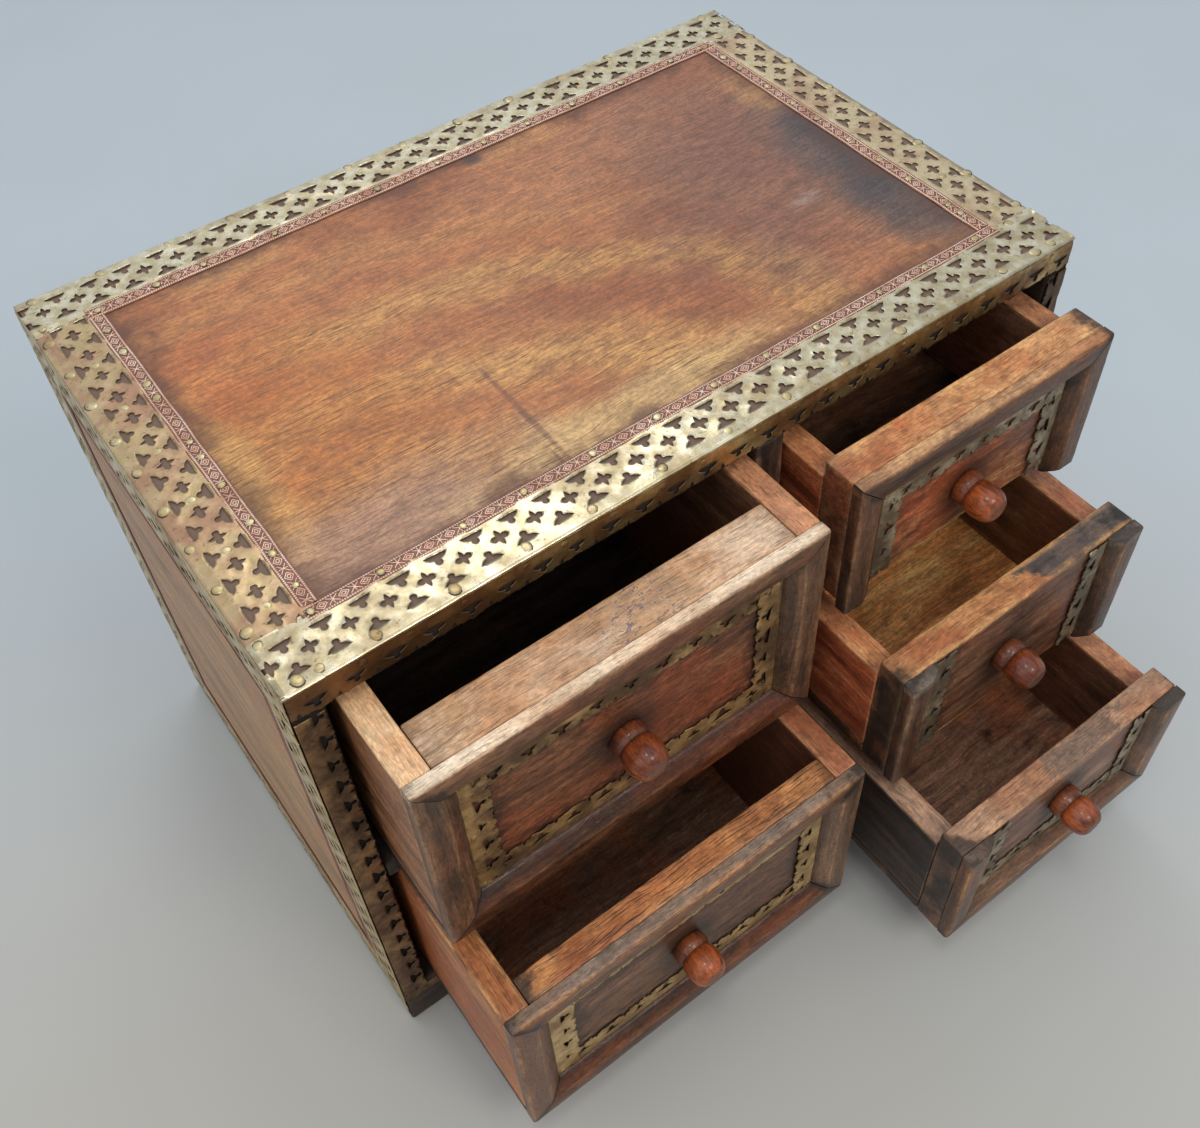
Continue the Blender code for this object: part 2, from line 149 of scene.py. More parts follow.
# Turned knob: distance from the front board and radius in mm, and where its groove and its end lie
KNOB_SIDES = 48
KNOB_PROFILE = (
    (-2.0, 4.0), (-0.1, 8.0), (0.5, 8.5), (1.6, 8.9), (3.2, 9.0), (4.8, 8.8), (6.0, 8.4), (6.7, 8.0),
    (7.2, 7.75), (7.6, 7.9), (8.3, 8.5), (9.4, 9.0), (11.0, 9.2), (13.2, 9.15), (15.6, 8.85), (17.6, 8.3),
    (19.0, 7.6), (20.0, 6.8), (20.7, 6.0), (21.1, 5.2), (21.2, 4.6))
KNOB_GROOVE = 7.2 * MM
KNOB_END = 20.7 * MM

# The top board: middle of its growth rings and their scale along each axis, then in mm each ring's radius,
# half width and strength, patches of wear, stain and painted sheen as middle and half size along X and Y,
# display colour and strength, and rims as spans of the distance from the middle along X and along Y
TOP_RING_CENTRE = (-130 * MM, -130 * MM, 304 * MM)
TOP_RING_SHAPE = (0.71, 1.0, 0.0)
TOP_RINGS = ((66, 30, 0.60), (114, 24, 0.80), (163, 20, 0.65), (205, 12, 0.25))
TOP_PATCHES_AND_SHEEN = (
    ((-138, -15), (66, 70), (190, 118, 58), 0.60),
    ((-152, 28), (30, 40), (194, 104, 56), 0.35),
    ((-165, -30), (12, 54), (208, 158, 92), 0.65),
    # painted sheen: greyish patch standing in for the varnish's reflection at the front left
    ((-132, -90), (78, 30), (170, 142, 122), 0.55),
    ((-20, -91), (90, 15), (206, 172, 118), 0.65),
    ((124, 10), (80, 110), (130, 90, 74), 0.78),
    ((168, -25), (34, 78), (88, 78, 74), 0.75),
    ((170, 4), (16, 30), (58, 58, 62), 0.75),
    ((160, -38), (18, 30), (64, 62, 64), 0.70),
    ((158, -78), (20, 16), (76, 68, 66), 0.65),
    ((166, 58), (12, 26), (194, 142, 86), 0.50),
    ((45, 92), (34, 8), (198, 142, 86), 0.60),
    ((-112, 92), (34, 8), (202, 148, 92), 0.60),
    ((19, 95), (6, 5), (54, 50, 54), 0.90),
    ((-58.5, -66), (1.5, 40), (112, 72, 62), 0.55),
    ((60, 66), (80, 34), (178, 124, 88), 0.40),
    ((128, -31), (10, 4), (172, 150, 136), 0.35),
    ((-61.5, -95), (1.0, 8), (104, 66, 56), 0.50))
TOP_DARK_RIM = ((157, 173), (89, 102))
TOP_BRASS_RIM = ((172.5, 174.5), (101.5, 103.5))
TOP_EDGE_RIM = ((199.0, 199.7), (128.0, 128.7))

# Dirt: linear colours of black stain and of dirt under metal, display colours of end grime, spill and ink
BLACK_STAIN = (0.014, 0.011, 0.009, 1.0)
DEEP_DIRT = (0.006, 0.0045, 0.0035, 1.0)
END_GRIME = (64, 52, 45)
SPILL = (84, 78, 74)
SPILL_EDGE = 4 * MM
INK = (92, 86, 102)

# The stage: reach of the floor, and each lamp's place, target, size, power and colour
FLOOR_REACH = 4.0
LAMPS = (
    ("ceiling", (0.1, -0.8, 2.8), (0.0, -0.1, 0.2), 3.2, 17.0, (1.0, 0.99, 0.96)),
    ("overhead", (-0.35, -0.45, 1.8), (0.0, -0.15, 0.15), 0.3, 3.1, (1.0, 0.98, 0.95)),
    ("key", (0.2, -1.4, 1.6), (0.0, -0.15, 0.15), 0.6, 9.5, (1.0, 0.98, 0.95)),
    ("window", (0.60, 1.30, 2.25), (-0.1, -0.1, 0.3), 0.9, 6.0, (1.0, 0.98, 0.94)),
    ("left_fill", (-1.9, -0.6, 1.4), (0.0, -0.1, 0.15), 1.8, 7.5, (1.0, 0.98, 0.95)))


def shade(red, green, blue):
    """Scene-linear colour of a display colour from 0 to 255."""
    display = np.array((red, green, blue)) / 255.0
    linear = np.where(display < 0.04045, display / 12.92, ((display + 0.055) / 1.055) ** 2.4)
    return (*linear, 1.0)


def box_of(node):
    """Lowest and highest corner of a node as arrays."""
    low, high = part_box(node)
    return np.array(low), np.array(high)


def ripple(places, seed, length, count=6):
    """Smooth wobble of about -1 to 1: a sum of seeded sines whose wavelengths lie around a length."""
    draw = np.random.default_rng(seed)
    waves = TURN / (length * draw.uniform(0.5, 2.0, count))
    phases = draw.uniform(0, TURN, count)
    return np.sin(np.asarray(places)[..., None] * waves + phases).sum(-1) / math.sqrt(2 * count)


def dents(first, second, seed, length, count=9):
    """Smooth wobble over a plane: a sum of seeded sines that run in all directions."""
    draw = np.random.default_rng(seed)
    waves = TURN / (length * draw.uniform(0.6, 2.0, count))
    angles = draw.uniform(0, TURN, count)
    phases = draw.uniform(0, TURN, count)
    along = first[..., None] * np.cos(angles) + second[..., None] * np.sin(angles)
    return np.sin(along * waves + phases).sum(-1) / math.sqrt(2 * count)


def grid_quads(rows, columns, ring=False):
    """Quads between neighbours of a grid numbered row by row; a ring joins its last column to its first."""
    row, column = np.meshgrid(np.arange(rows - 1), np.arange(columns if ring else columns - 1), indexing="ij")
    following = (column + 1) % columns
    corners = (row * columns + column, row * columns + following,
               (row + 1) * columns + following, (row + 1) * columns + column)
    return np.stack(corners, axis=-1).reshape(-1, 4)


def tube_faces(rows, count, flip=False):
    """Faces of a closed tube with rings numbered row by row: quads round it and a polygon at each end."""
    order = np.arange(count)
    blocks = [grid_quads(rows, count, ring=True), np.stack((order[::-1], order + (rows - 1) * count))]
    return [block[:, ::-1] for block in blocks] if flip else blocks


def make_mesh(name, points, faces, values):
    """Mesh from an array of points, blocks of faces with one row per face, and named values per point."""
    mesh = bpy.data.meshes.new(name)
    sizes = np.concatenate([np.full(len(block), block.shape[1]) for block in faces])
    corners = np.concatenate([block.ravel() for block in faces])
    starts = np.concatenate(([0], np.cumsum(sizes)[:-1]))
    mesh.vertices.add(len(points))
    mesh.vertices.foreach_set("co", points.astype(np.float32).ravel())
    mesh.loops.add(len(corners))
    mesh.loops.foreach_set("vertex_index", corners.astype(np.int32))
    mesh.polygons.add(len(sizes))
    mesh.polygons.foreach_set("loop_start", starts.astype(np.int32))
    mesh.update(calc_edges=True)
    mesh.validate()
    for key, data in values.items():
        vector = data.ndim == 2
        layer = mesh.attributes.new(key, "FLOAT_VECTOR" if vector else "FLOAT", "POINT")
        layer.data.foreach_set("vector" if vector else "value", data.astype(np.float32).ravel())
    return mesh


def add_piece(name, mesh, material, body, stands_for=(), sharp=40.0):
    """Put a finished mesh in the scene as a piece that rides on a body and stands for its nodes."""
    mesh.materials.append(material)
    mesh.shade_smooth()
    mesh.set_sharp_from_angle(angle=math.radians(sharp))
    piece = bpy.data.objects.new(name, mesh)
    bpy.context.collection.objects.link(piece)
    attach(piece, body)
    if stands_for:
        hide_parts(*stands_for)
    return piece


class Tree:
    """Short calls for a node tree: each makes a node or a few and hands back an output."""

    def __init__(self, tree):
        self.tree = tree

    def put(self, socket, value):
        """Link an output to a socket, or set the socket's own value."""
        if isinstance(value, bpy.types.NodeSocket):
            self.tree.links.new(value, socket)
        else:
            socket.default_value = value

    def add(self, kind, inputs=None, output=0, **settings):
        """One node with its settings and inputs, and one of its outputs."""
        node = self.tree.nodes.new(kind)
        for key, value in settings.items():
            setattr(node, key, value)
        for key, value in (inputs or {}).items():
            self.put(node.inputs[key], value)
        return node.outputs[output]

    def chain(self, operation, first, *others):
        """Values taken together one after another by an operation."""
        for other in others:
            first = self.add("ShaderNodeMath", {0: first, 1: other}, operation=operation)
        return first

    def times(self, *values):
        """Product of values."""
        return self.chain("MULTIPLY", *values)

    def plus(self, *values):
        """Sum of values."""
        return self.chain("ADD", *values)

    def minus(self, *values):
        """First value less the others."""
        return self.chain("SUBTRACT", *values)

    def most(self, *values):
        """Largest of values."""
        return self.chain("MAXIMUM", *values)

    def least(self, *values):
        """Smallest of values."""
        return self.chain("MINIMUM", *values)

    def away(self, value, middle=0.0):
        """How far a value lies from a middle."""
        return self.chain("ABSOLUTE", self.minus(value, middle), 0.0)

    def swing(self, cloudy, size):
        """A cloudy value from 0 to 1 as a shift to both sides."""
        return self.times(self.minus(cloudy, 0.5), size)

    def mix(self, share, first, second):
        """Two colours mixed by a share from 0 to 1; three numbers stand for a display colour."""
        colours = [shade(*colour) if isinstance(colour, tuple) and len(colour) == 3 else colour
                   for colour in (first, second)]
        return self.add("ShaderNodeMix", {0: share, 6: colours[0], 7: colours[1]}, output=2, data_type="RGBA",
                        clamp_factor=True)

    def deepen(self, colour, *factors):
        """A colour made lighter or darker by factors."""
        inputs = {0: colour, "Scale": self.times(*factors)}
        return self.add("ShaderNodeVectorMath", inputs, operation="SCALE")

    def span(self, value, low, high, start=0.0, end=1.0):
        """A value taken smoothly from one range to another, held at its ends."""
        inputs = {"Value": value, "From Min": low, "From Max": high, "To Min": start, "To Max": end}
        return self.add("ShaderNodeMapRange", inputs, interpolation_type="SMOOTHSTEP")

    def place(self, kind="Object"):
        """Coordinates of the point that is shaded."""
        return self.add("ShaderNodeTexCoord", output=kind)

    def axes(self, place):
        """X, Y and Z of a place, by name."""
        return self.add("ShaderNodeSeparateXYZ", {0: place}).node.outputs

    def stretch(self, vector, scale, turn=(0, 0, 0)):
        """Coordinates turned and scaled."""
        return self.add("ShaderNodeMapping", {"Vector": vector, "Rotation": turn, "Scale": scale})

    def noise(self, vector, scale, detail=3.0, rough=0.55, warp=0.0):
        """Cloudy noise from 0 to 1."""
        inputs = {"Vector": vector, "Scale": scale, "Detail": detail, "Roughness": rough, "Distortion": warp}
        return self.add("ShaderNodeTexNoise", inputs)

    def reach(self, place, middle, scale):
        """How far a place lies from a middle, each axis scaled."""
        offset = self.add("ShaderNodeVectorMath", {0: place, 1: middle}, operation="SUBTRACT")
        scaled = self.add("ShaderNodeVectorMath", {0: offset, 1: scale}, operation="MULTIPLY")
        return self.add("ShaderNodeVectorMath", {0: scaled}, output="Value", operation="LENGTH")

    def oval(self, place, middle, half, cloudy):
        """Mask of an oval patch on a level face: 1 inside, 0 outside, its edge broken by a cloudy value."""
        reach = self.reach(place, (*middle, 0), (1 / half[0], 1 / half[1], 0))
        return self.span(self.plus(reach, self.swing(cloudy, 1.5)), 0.30, 1.30, 1.0, 0.0)

    def rim(self, aside, ahead, spans):
        """Mask of a level face's rim, from distances along X and Y and a span in mm for each."""
        masks = [self.span(value, low * MM, high * MM) for value, (low, high) in zip((aside, ahead), spans)]
        return self.most(*masks)

    def attribute(self, name, output="Fac"):
        """A value or a vector stored on the piece's points."""
        return self.add("ShaderNodeAttribute", output=output, attribute_name=name)

    def group(self, shared, inputs):
        """All outputs of a shared effect."""
        node = self.tree.nodes.new("ShaderNodeGroup")
        node.node_tree = shared
        for key, value in inputs.items():
            self.put(node.inputs[key], value)
        return node.outputs


def new_group(name, inputs, outputs):
    """Empty shader node group with named sockets, its tree, its inputs and its output node."""
    group = bpy.data.node_groups.new(name, "ShaderNodeTree")
    for socket, kind in inputs.items():
        group.interface.new_socket(socket, in_out="INPUT", socket_type=kind)
    for socket, kind in outputs.items():
        group.interface.new_socket(socket, in_out="OUTPUT", socket_type=kind)
    entry = group.nodes.new("NodeGroupInput")
    leave = group.nodes.new("NodeGroupOutput")
    return group, Tree(group), entry.outputs, leave


def new_material(name):
    """Empty node material; returns it, its tree and its Principled shader."""
    material = bpy.data.materials.new(name)
    material.use_nodes = True
    shader = material.node_tree.nodes["Principled BSDF"]
    return material, Tree(material.node_tree), shader


def make_wood_figure():
    """Shared wood figure from grain coordinates whose X runs along the fibres.

    Streaks are broad bands of growth, fibres long fine lines, pores short dark dashes, speckle a fine grain,
    blotches uneven stain, mottle a soft cloudiness and patches slow changes of tone.
    """
    names = ("Streaks", "Fibres", "Pores", "Speckle", "Blotches", "Mottle", "Patches")
    outputs = {key: "NodeSocketFloat" for key in names}
    group, tree, entry, leave = new_group("wood_figure", {"Grain": "NodeSocketVector"}, outputs)
    grain = entry["Grain"]
    waver = tree.noise(tree.stretch(grain, (14, 30, 30)), 1.0, 2.0)
    shift = tree.add("ShaderNodeCombineXYZ", {"Y": tree.times(waver, 0.012)})
    bent = tree.add("ShaderNodeVectorMath", {0: grain, 1: shift}, operation="ADD")
    dashes = tree.noise(tree.stretch(bent, (110, 2200, 2200)), 1.0, 1.0, 0.5)
    figures = {
        "Streaks": tree.noise(tree.stretch(bent, (9, 90, 90)), 1.0, 5.0, 0.65),
        "Fibres": tree.noise(tree.stretch(bent, (45, 1150, 1150)), 1.0, 3.0, 0.65),
        "Pores": tree.span(dashes, 0.56, 0.68),
        "Speckle": tree.noise(tree.stretch(bent, (420, 640, 640)), 1.0, 3.0, 0.7),
        "Blotches": tree.noise(grain, 34.0, 6.0, 0.66),
        "Mottle": tree.noise(tree.stretch(bent, (110, 220, 220)), 1.0, 4.0, 0.7),
        "Patches": tree.noise(grain, 13.0, 3.0, 0.6)}
    for key, value in figures.items():
        tree.put(leave.inputs[key], value)
    return group


def make_tarnish():
    """Shared metal ageing from object coordinates.

    Clouds are broad patches of tarnish, specks small dirt, scratches fine polishing lines, dimples a soft
    hammered unevenness.
    """
    outputs = {key: "NodeSocketFloat" for key in ("Clouds", "Specks", "Scratches", "Dimples")}
    group, tree, entry, leave = new_group("tarnish", {"Place": "NodeSocketVector"}, outputs)
    place = entry["Place"]
    effects = {
        "Clouds": tree.noise(place, 42.0, 5.0, 0.65, 0.4),
        "Specks": tree.noise(place, 520.0, 2.0, 0.6),
        "Scratches": tree.noise(tree.stretch(place, (90, 1500, 700), turn=(0, 0, 0.5)), 1.0, 2.0, 0.6),
        "Dimples": tree.noise(place, 190.0, 2.0, 0.5)}
    for key, value in effects.items():
        tree.put(leave.inputs[key], value)
    return group


WOOD_FIGURE = make_wood_figure()
TARNISH = make_tarnish()


def wood_figure(tree):
    """Wood figure along the grain of the piece."""
    return tree.group(WOOD_FIGURE, {"Grain": tree.attribute("grain", "Vector")})


def cover(tree, shader, colour, rough, height, strength, distance=0.4 * MM):
    """Give a shader its colour, roughness and fine relief."""
    tree.put(shader.inputs["Base Color"], colour)
    tree.put(shader.inputs["Roughness"], rough)
    relief = tree.add("ShaderNodeBump", {"Strength": strength, "Distance": distance, "Height": height})
    tree.put(shader.inputs["Normal"], relief)


def spill_mask(tree, along, figure, start, end, strength):
    """Mask of a spill between two places along X, with broken ends and a mottled middle."""
    run = tree.plus(along, tree.swing(figure["Blotches"], 110 * MM))
    begun = tree.span(run, start - SPILL_EDGE, start + SPILL_EDGE)
    unended = tree.span(run, end - SPILL_EDGE, end + SPILL_EDGE, 1.0, 0.0)
    return tree.times(begun, unended, tree.span(figure["Mottle"], 0.36, 0.64, strength, 0.88 * strength))


def panel_dirt_and_shade(tree, place, figure, drawer, soil):
    """Mask of the dirt on a drawer's panel: a broken band inside its mouldings and a ring round its knob.

    Where a moulding is missing, that rim is far off. The ring round the knob is dirt and painted shade.
    """
    low, high = box_of(drawer + "_front")
    rims = panel_rims(drawer)
    axes = tree.axes(place)
    inside = tree.least(tree.minus(axes["X"], rims["left"]), tree.minus(rims["right"], axes["X"]),
                        tree.minus(axes["Z"], rims.get("bottom", low[2] - FAR_RIM)),
                        tree.minus(rims.get("top", high[2] + FAR_RIM), axes["Z"]))
    broken = tree.plus(inside, tree.swing(figure["Mottle"], 24 * MM))
    band = tree.times(tree.span(broken, 12 * MM, 23 * MM, soil, 0.0), tree.span(inside, -3 * MM, -1 * MM))
    # Ring of dirt and painted shade round the knob, standing in for the shade the knob casts
    knob_low, knob_high = box_of(drawer + "_knob")
    gap = tree.reach(place, (knob_low + knob_high) / 2, (1, 0, 1))
    gap = tree.minus(gap, tree.times(figure["Mottle"], 22 * MM))
    return tree.most(band, tree.span(gap, -3 * MM, 14 * MM, 0.75, 0.0))


def beyond_panel(tree, axes, half_depth, bottom, top):
    """Mask of a side board outside its bare panel, but not on its back end."""
    fade = 0.5 * MM
    back_start, back_end = 128.3 * MM, 128.7 * MM
    covered = tree.most(tree.span(axes["Z"], top, top + fade),
                        tree.span(axes["Z"], bottom - fade, bottom, 1.0, 0.0),
                        tree.span(tree.away(axes["Y"]), half_depth, half_depth + fade))
    return tree.times(covered, tree.span(axes["Y"], back_start, back_end, 1.0, 0.0))


def wood_material(name, dark, middle, light, worn, rubbed=None, blush=None, stain_level=0.62, wear=0.6,
                  pores=0.45, lines=0.18, speckle=0.22, clouds=0.22, inner=0.55, ink=None, ends=0.25,
                  cracks=0.15, panel=None, soil=0.70, bare=None, spill=None, roughness=(0.34, 0.54),
                  gloss=0.35):
    """Worn board: streaked colour, dark pores, black stains, grimy ends, rubbed top faces and paler edges.

    A blush is a second tone in slow patches. Lines, speckle and clouds say how strongly fibres, fine grain
    and mottling show, less so on rubbed faces. Inner is how dark a drawer's inside is, and how dark the
    painted shade in a moulding's crease is. Ink gives the place along X and the half length of a sprinkle of
    blue-grey spots, ends how dark the ends are, cracks how dark the lines on rubbed faces are. A panel is the
    drawer whose front this is, and soil how dirty its rim is; round its knob the panel gets a ring of dirt and
    painted shade.
    Bare gives a side's half depth, bottom and top: beyond them it is dark. A spill darkens a rubbed top
    between two places along X, by a strength.
    """
    material, tree, shader = new_material(name)
    figure = wood_figure(tree)
    place = tree.place()
    axes = tree.axes(place)
    rub = tree.attribute("rub")
    grime = tree.attribute("grime")
    colour = tree.mix(tree.span(figure["Streaks"], 0.36, 0.52), dark, middle)
    colour = tree.mix(tree.span(figure["Streaks"], 0.50, 0.66), colour, light)
    if blush is not None:
        colour = tree.mix(tree.span(figure["Patches"], 0.42, 0.60, 0.0, 0.85), colour, blush)
    if rubbed is not None:
        pale, tan, red = rubbed
        top = tree.mix(tree.span(figure["Blotches"], 0.38, 0.60), tan, pale)
        top = tree.mix(tree.span(figure["Patches"], 0.46, 0.62, 0.0, 0.75), top, red)
        colour = tree.mix(rub, colour, top)
    if spill is not None:
        colour = tree.mix(tree.times(spill_mask(tree, axes["X"], figure, *spill), rub), colour, SPILL)
    scuffs = tree.span(figure["Blotches"], 0.40, 0.56, 0.10, wear)
    colour = tree.mix(tree.times(tree.attribute("edge"), scuffs), colour, worn)
    depth = tree.times(tree.span(figure["Fibres"], 0.36, 0.64, 1 - lines, 1 + lines),
                       tree.span(figure["Mottle"], 0.32, 0.68, 1 - clouds, 1 + clouds),
                       tree.span(figure["Speckle"], 0.34, 0.66, 1 - speckle, 1 + speckle))
    calmer = tree.minus(1.0, tree.times(rub, 0.3))
    colour = tree.deepen(colour, tree.plus(tree.times(tree.minus(depth, 1.0), calmer), 1.0))
    dirty = tree.plus(tree.times(grime, 0.22), figure["Blotches"])
    colour = tree.mix(tree.span(dirty, stain_level, stain_level + 0.14, 0.0, 0.85), colour, BLACK_STAIN)
    colour = tree.mix(tree.times(figure["Pores"], pores), colour, BLACK_STAIN)
    split = tree.times(tree.span(figure["Fibres"], 0.53, 0.62, 0.0, cracks), rub)
    colour = tree.mix(split, colour, BLACK_STAIN)
    if ink is not None:
        ink_middle, ink_half = ink
        near = tree.span(tree.away(axes["X"], ink_middle), 0.2 * ink_half, ink_half, 1.0, 0.0)
        spots = tree.times(tree.span(figure["Speckle"], 0.54, 0.64, 0.0, 0.85), near, rub)
        colour = tree.mix(spots, colour, INK)
    # Dark inside faces of a drawer, and painted shade in a moulding's crease
    colour = tree.mix(tree.times(tree.attribute("inner"), inner), colour, BLACK_STAIN)
    colour = tree.mix(tree.times(grime, ends), colour, END_GRIME)
    # Dirt inside the mouldings, and dirt and painted shade round the knob
    if panel is not None:
        dirt = panel_dirt_and_shade(tree, place, figure, panel, soil)
        colour = tree.mix(tree.times(dirt, tree.minus(1.0, rub)), colour, BLACK_STAIN)
    rough = tree.span(figure["Mottle"], 0.3, 0.7, *roughness)
    if bare is not None:
        covered = beyond_panel(tree, axes, *bare)
        colour = tree.mix(tree.times(covered, 0.95), colour, DEEP_DIRT)
        rough = tree.most(rough, covered)
    shader.inputs["Specular IOR Level"].default_value = gloss
    height = tree.plus(figure["Fibres"], figure["Speckle"], figure["Mottle"])
    cover(tree, shader, colour, rough, tree.minus(height, figure["Pores"]), 0.4)
    return material


def worn_board(node, along, seed, inside=None, joined=False):
    """Board in a node's box: a rounded rectangle carried along its grain.

    Each of the four long edges has a corner radius that wavers along the board and swells at a few chips.
    The end sections shrink along a quarter circle, and a last inner ring closes each end. Inside is the
    direction in which a drawer's board faces the drawer's inside: such a board has a rubbed top. A joined
    board's first end meets another board and stays clean.
    """
    low, high = box_of(node)
    first, second = (along + 1) % 3, (along + 2) % 3
    length = high[along] - low[along]
    half = np.array((high[first] - low[first], high[second] - low[second])) / 2
    radius = min(BOARD_ROUNDING, 0.3 * half.min())
    bend = np.linspace(0, math.pi / 2, ARC_STEPS + 1)
    end_places = radius * (1 - np.cos(bend))
    end_insets = radius * (1 - np.sin(bend))
    middle = np.linspace(radius, length - radius, max(6, int(length / BOARD_STATION)))[1:-1]
    places = np.concatenate(([0.0], end_places, middle, length - end_places[::-1], [length]))
    band = min(BOARD_BAND, 0.3 * half.min())
    insets = np.concatenate(([radius + band], end_insets, 0 * middle, end_insets[::-1], [radius + band]))
    draw = np.random.default_rng(seed)
    radii = np.empty((len(places), 4))
    for corner in range(4):
        waver = 1 + EDGE_WAVER * ripple(places, seed * 7 + corner, EDGE_WAVELENGTH)
        chips = np.zeros(len(places))
        for _ in range(max(1, int(length / CHIP_SPACING))):
            spread = draw.uniform(*CHIP_SPREAD)
            depth = draw.uniform(*CHIP_DEPTH) ** 2
            chips += depth * np.exp(-((places - draw.uniform(0, length)) / spread) ** 2)
        radii[:, corner] = radius * np.clip(waver + chips, 0.4, 2.2)
    radii = np.maximum(radii - 0.8 * np.minimum(insets, radius)[:, None], 0.15 * MM)
    ring = []
    edge = []
    signs = ((1, 1), (-1, 1), (-1, -1), (1, -1))
    reach = half[None, :] - insets[:, None]
    band_here = np.minimum(band, 0.3 * reach.min(axis=1))
    for corner, (side_a, side_b) in enumerate(signs):
        turn = corner * math.pi / 2 + bend
        here = radii[:, corner]
        centre_a = side_a * (reach[:, 0] - here)
        centre_b = side_b * (reach[:, 1] - here)
        for angle in turn:
            ring.append((centre_a + here * math.cos(angle), centre_b + here * math.sin(angle)))
            edge.append(1.0)
        last_a, last_b = ring[-1]
        step_a, step_b = round(-math.sin(turn[-1])), round(math.cos(turn[-1]))
        following = (corner + 1) % 4
        next_a = signs[following][0] * reach[:, 0] - step_a * radii[:, following]
        next_b = signs[following][1] * reach[:, 1] - step_b * radii[:, following]
        across = np.abs(next_a - last_a) if step_a else np.abs(next_b - last_b)
        for gone in (band_here, across / 2, across - band_here):
            ring.append((last_a + step_a * gone, last_b + step_b * gone))
            edge.append(0.0)
    ring = np.array(ring).transpose(2, 0, 1)
    stations, count = ring.shape[:2]
    local = np.empty((stations, count, 3))
    local[..., along] = places[:, None] + low[along]
    local[..., first] = ring[..., 0] + (low[first] + high[first]) / 2
    local[..., second] = ring[..., 1] + (low[second] + high[second]) / 2
    points = local.reshape(-1, 3)
    edges = np.tile(np.array(edge), (stations, 1))
    near_end = np.minimum(places, length - places)[:, None]
    edges = np.where((near_end < 0.95 * radius) & (insets[:, None] < 1.01 * radius), 1.0, edges)
    edges = np.where(insets[:, None] > 1.01 * radius, 0.0, edges)
    grain = points[:, (along, first, second)] + draw.uniform(0, 3, 3)
    free_end = (length - places)[:, None] if joined else near_end
    from_end = np.repeat(free_end, count, axis=1).ravel()
    values = {"grain": grain, "edge": edges.ravel(), "grime": np.exp(-from_end / BOARD_GRIME)}
    if inside is not None:
        face = high if inside.sum() > 0 else low
        away = np.abs((points - face) @ inside)
        values["rub"] = np.clip((points[:, 2] - high[2] + BOARD_RUB[0]) / BOARD_RUB[1], 0, 1)
        values["inner"] = np.clip(1 - away / INNER_FACE, 0, 1) * (1 - values["rub"])
    return make_mesh(node + "_worn", points, tube_faces(stations, count), values)


def worn_stick(node, along, across, out, mitres, seed, rub):
    """Moulding stick in a node's box: a flat band with a bevelled inner side, carried along its length.

    Each profile point starts and ends where the mitre cuts it, and the edges wobble a little.
    """
    low, top = box_of(node)
    centre = (low + top) / 2
    size = top - low
    length = abs(size @ along)
    start = centre - along * length / 2 - across * abs(size @ across) / 2 - out * abs(size @ out) / 2
    flat, width, thick, inner = STICK_FLAT_WIDTH, STICK_WIDTH, STICK_THICKNESS, STICK_INNER_EDGE
    slope = (thick - inner) / (width - flat)
    profile = np.array((
        (0.0, 0.0), (0.0, 0.45 * thick), (0.0, thick - 1.6 * MM), (0.25 * MM, thick - 0.8 * MM),
        (0.8 * MM, thick - 0.25 * MM), (1.7 * MM, thick - 0.02 * MM), (0.5 * flat, thick),
        (flat - 1.0 * MM, thick - 0.02 * MM), (flat, thick - 0.22 * MM),
        (flat + 1.0 * MM, thick - slope * 1.0 * MM - 0.08 * MM),
        ((flat + width) / 2, (thick + inner) / 2 + 0.1 * MM), (width - 0.9 * MM, inner + 0.7 * MM),
        (width - 0.1 * MM, inner - 0.3 * MM), (width, 0.0)))
    edge = np.array((0, 0, 0.5, 1, 1, 0.4, 0, 0.3, 1, 0.3, 0, 0.4, 1, 0.3))
    stations = max(8, int(length / STICK_STATION))
    share = np.linspace(0, 1, stations)
    begin = mitres[0] * profile[:, 0]
    finish = length - mitres[1] * profile[:, 0]
    run = begin[None, :] + share[:, None] * (finish - begin)[None, :]
    worn = sum(high * ripple(run, seed + place, long) for place, (high, long) in enumerate(STICK_WEAR))
    drop = np.where(edge > 0.45, np.abs(worn) * edge, 0.0)
    across_place = profile[None, :, 0] + np.where(profile[None, :, 0] < flat / 4, drop, -0.4 * drop)
    out_place = np.maximum(profile[None, :, 1] - drop, 0.0)
    points = start + run[..., None] * along + across_place[..., None] * across + out_place[..., None] * out
    points = points.reshape(-1, 3)
    faces = tube_faces(stations, len(profile), np.cross(across, out) @ along >= 0)
    draw = np.random.default_rng(seed)
    grain = np.stack((run, across_place, out_place), axis=-1).reshape(-1, 3) + draw.uniform(0, 3, 3)
    from_end = np.minimum(run - begin, finish - run).ravel()
    # Painted shade: the crease at the panel is darkened to stand in for the shade between stick and panel
    crease = np.clip((profile[:, 0] - width + STICK_CREASE_SHADE[0]) / STICK_CREASE_SHADE[1], 0, 1)
    values = {"grain": grain, "edge": np.tile(edge, (stations, 1)).ravel(),
              "inner": np.tile(crease, (stations, 1)).ravel(), "grime": np.exp(-from_end / STICK_GRIME),
              "rub": rub * np.clip((points[:, 2] - top[2] + STICK_RUB[0]) / STICK_RUB[1], 0, 1)}
    return make_mesh(node + "_worn", points, faces, values)


def sticks_of(drawer):
    """Nodes of the mouldings that a drawer has, by side."""
    nodes = {side: drawer + "_" + side + "_stick" for side in STICK_AXES}
    return {side: node for side, node in nodes.items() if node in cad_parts}


def panel_rims(drawer):
    """Places of the inner edges of a drawer's mouldings, by side."""
    rims = {}
    for side, node in sticks_of(drawer).items():
        across = STICK_AXES[side][1]
        axis = int(np.abs(across).argmax())
        low, high = box_of(node)
        outer = low if across[axis] > 0 else high
        rims[side] = float(outer[axis] + across[axis] * PANEL_INSET)
    return rims


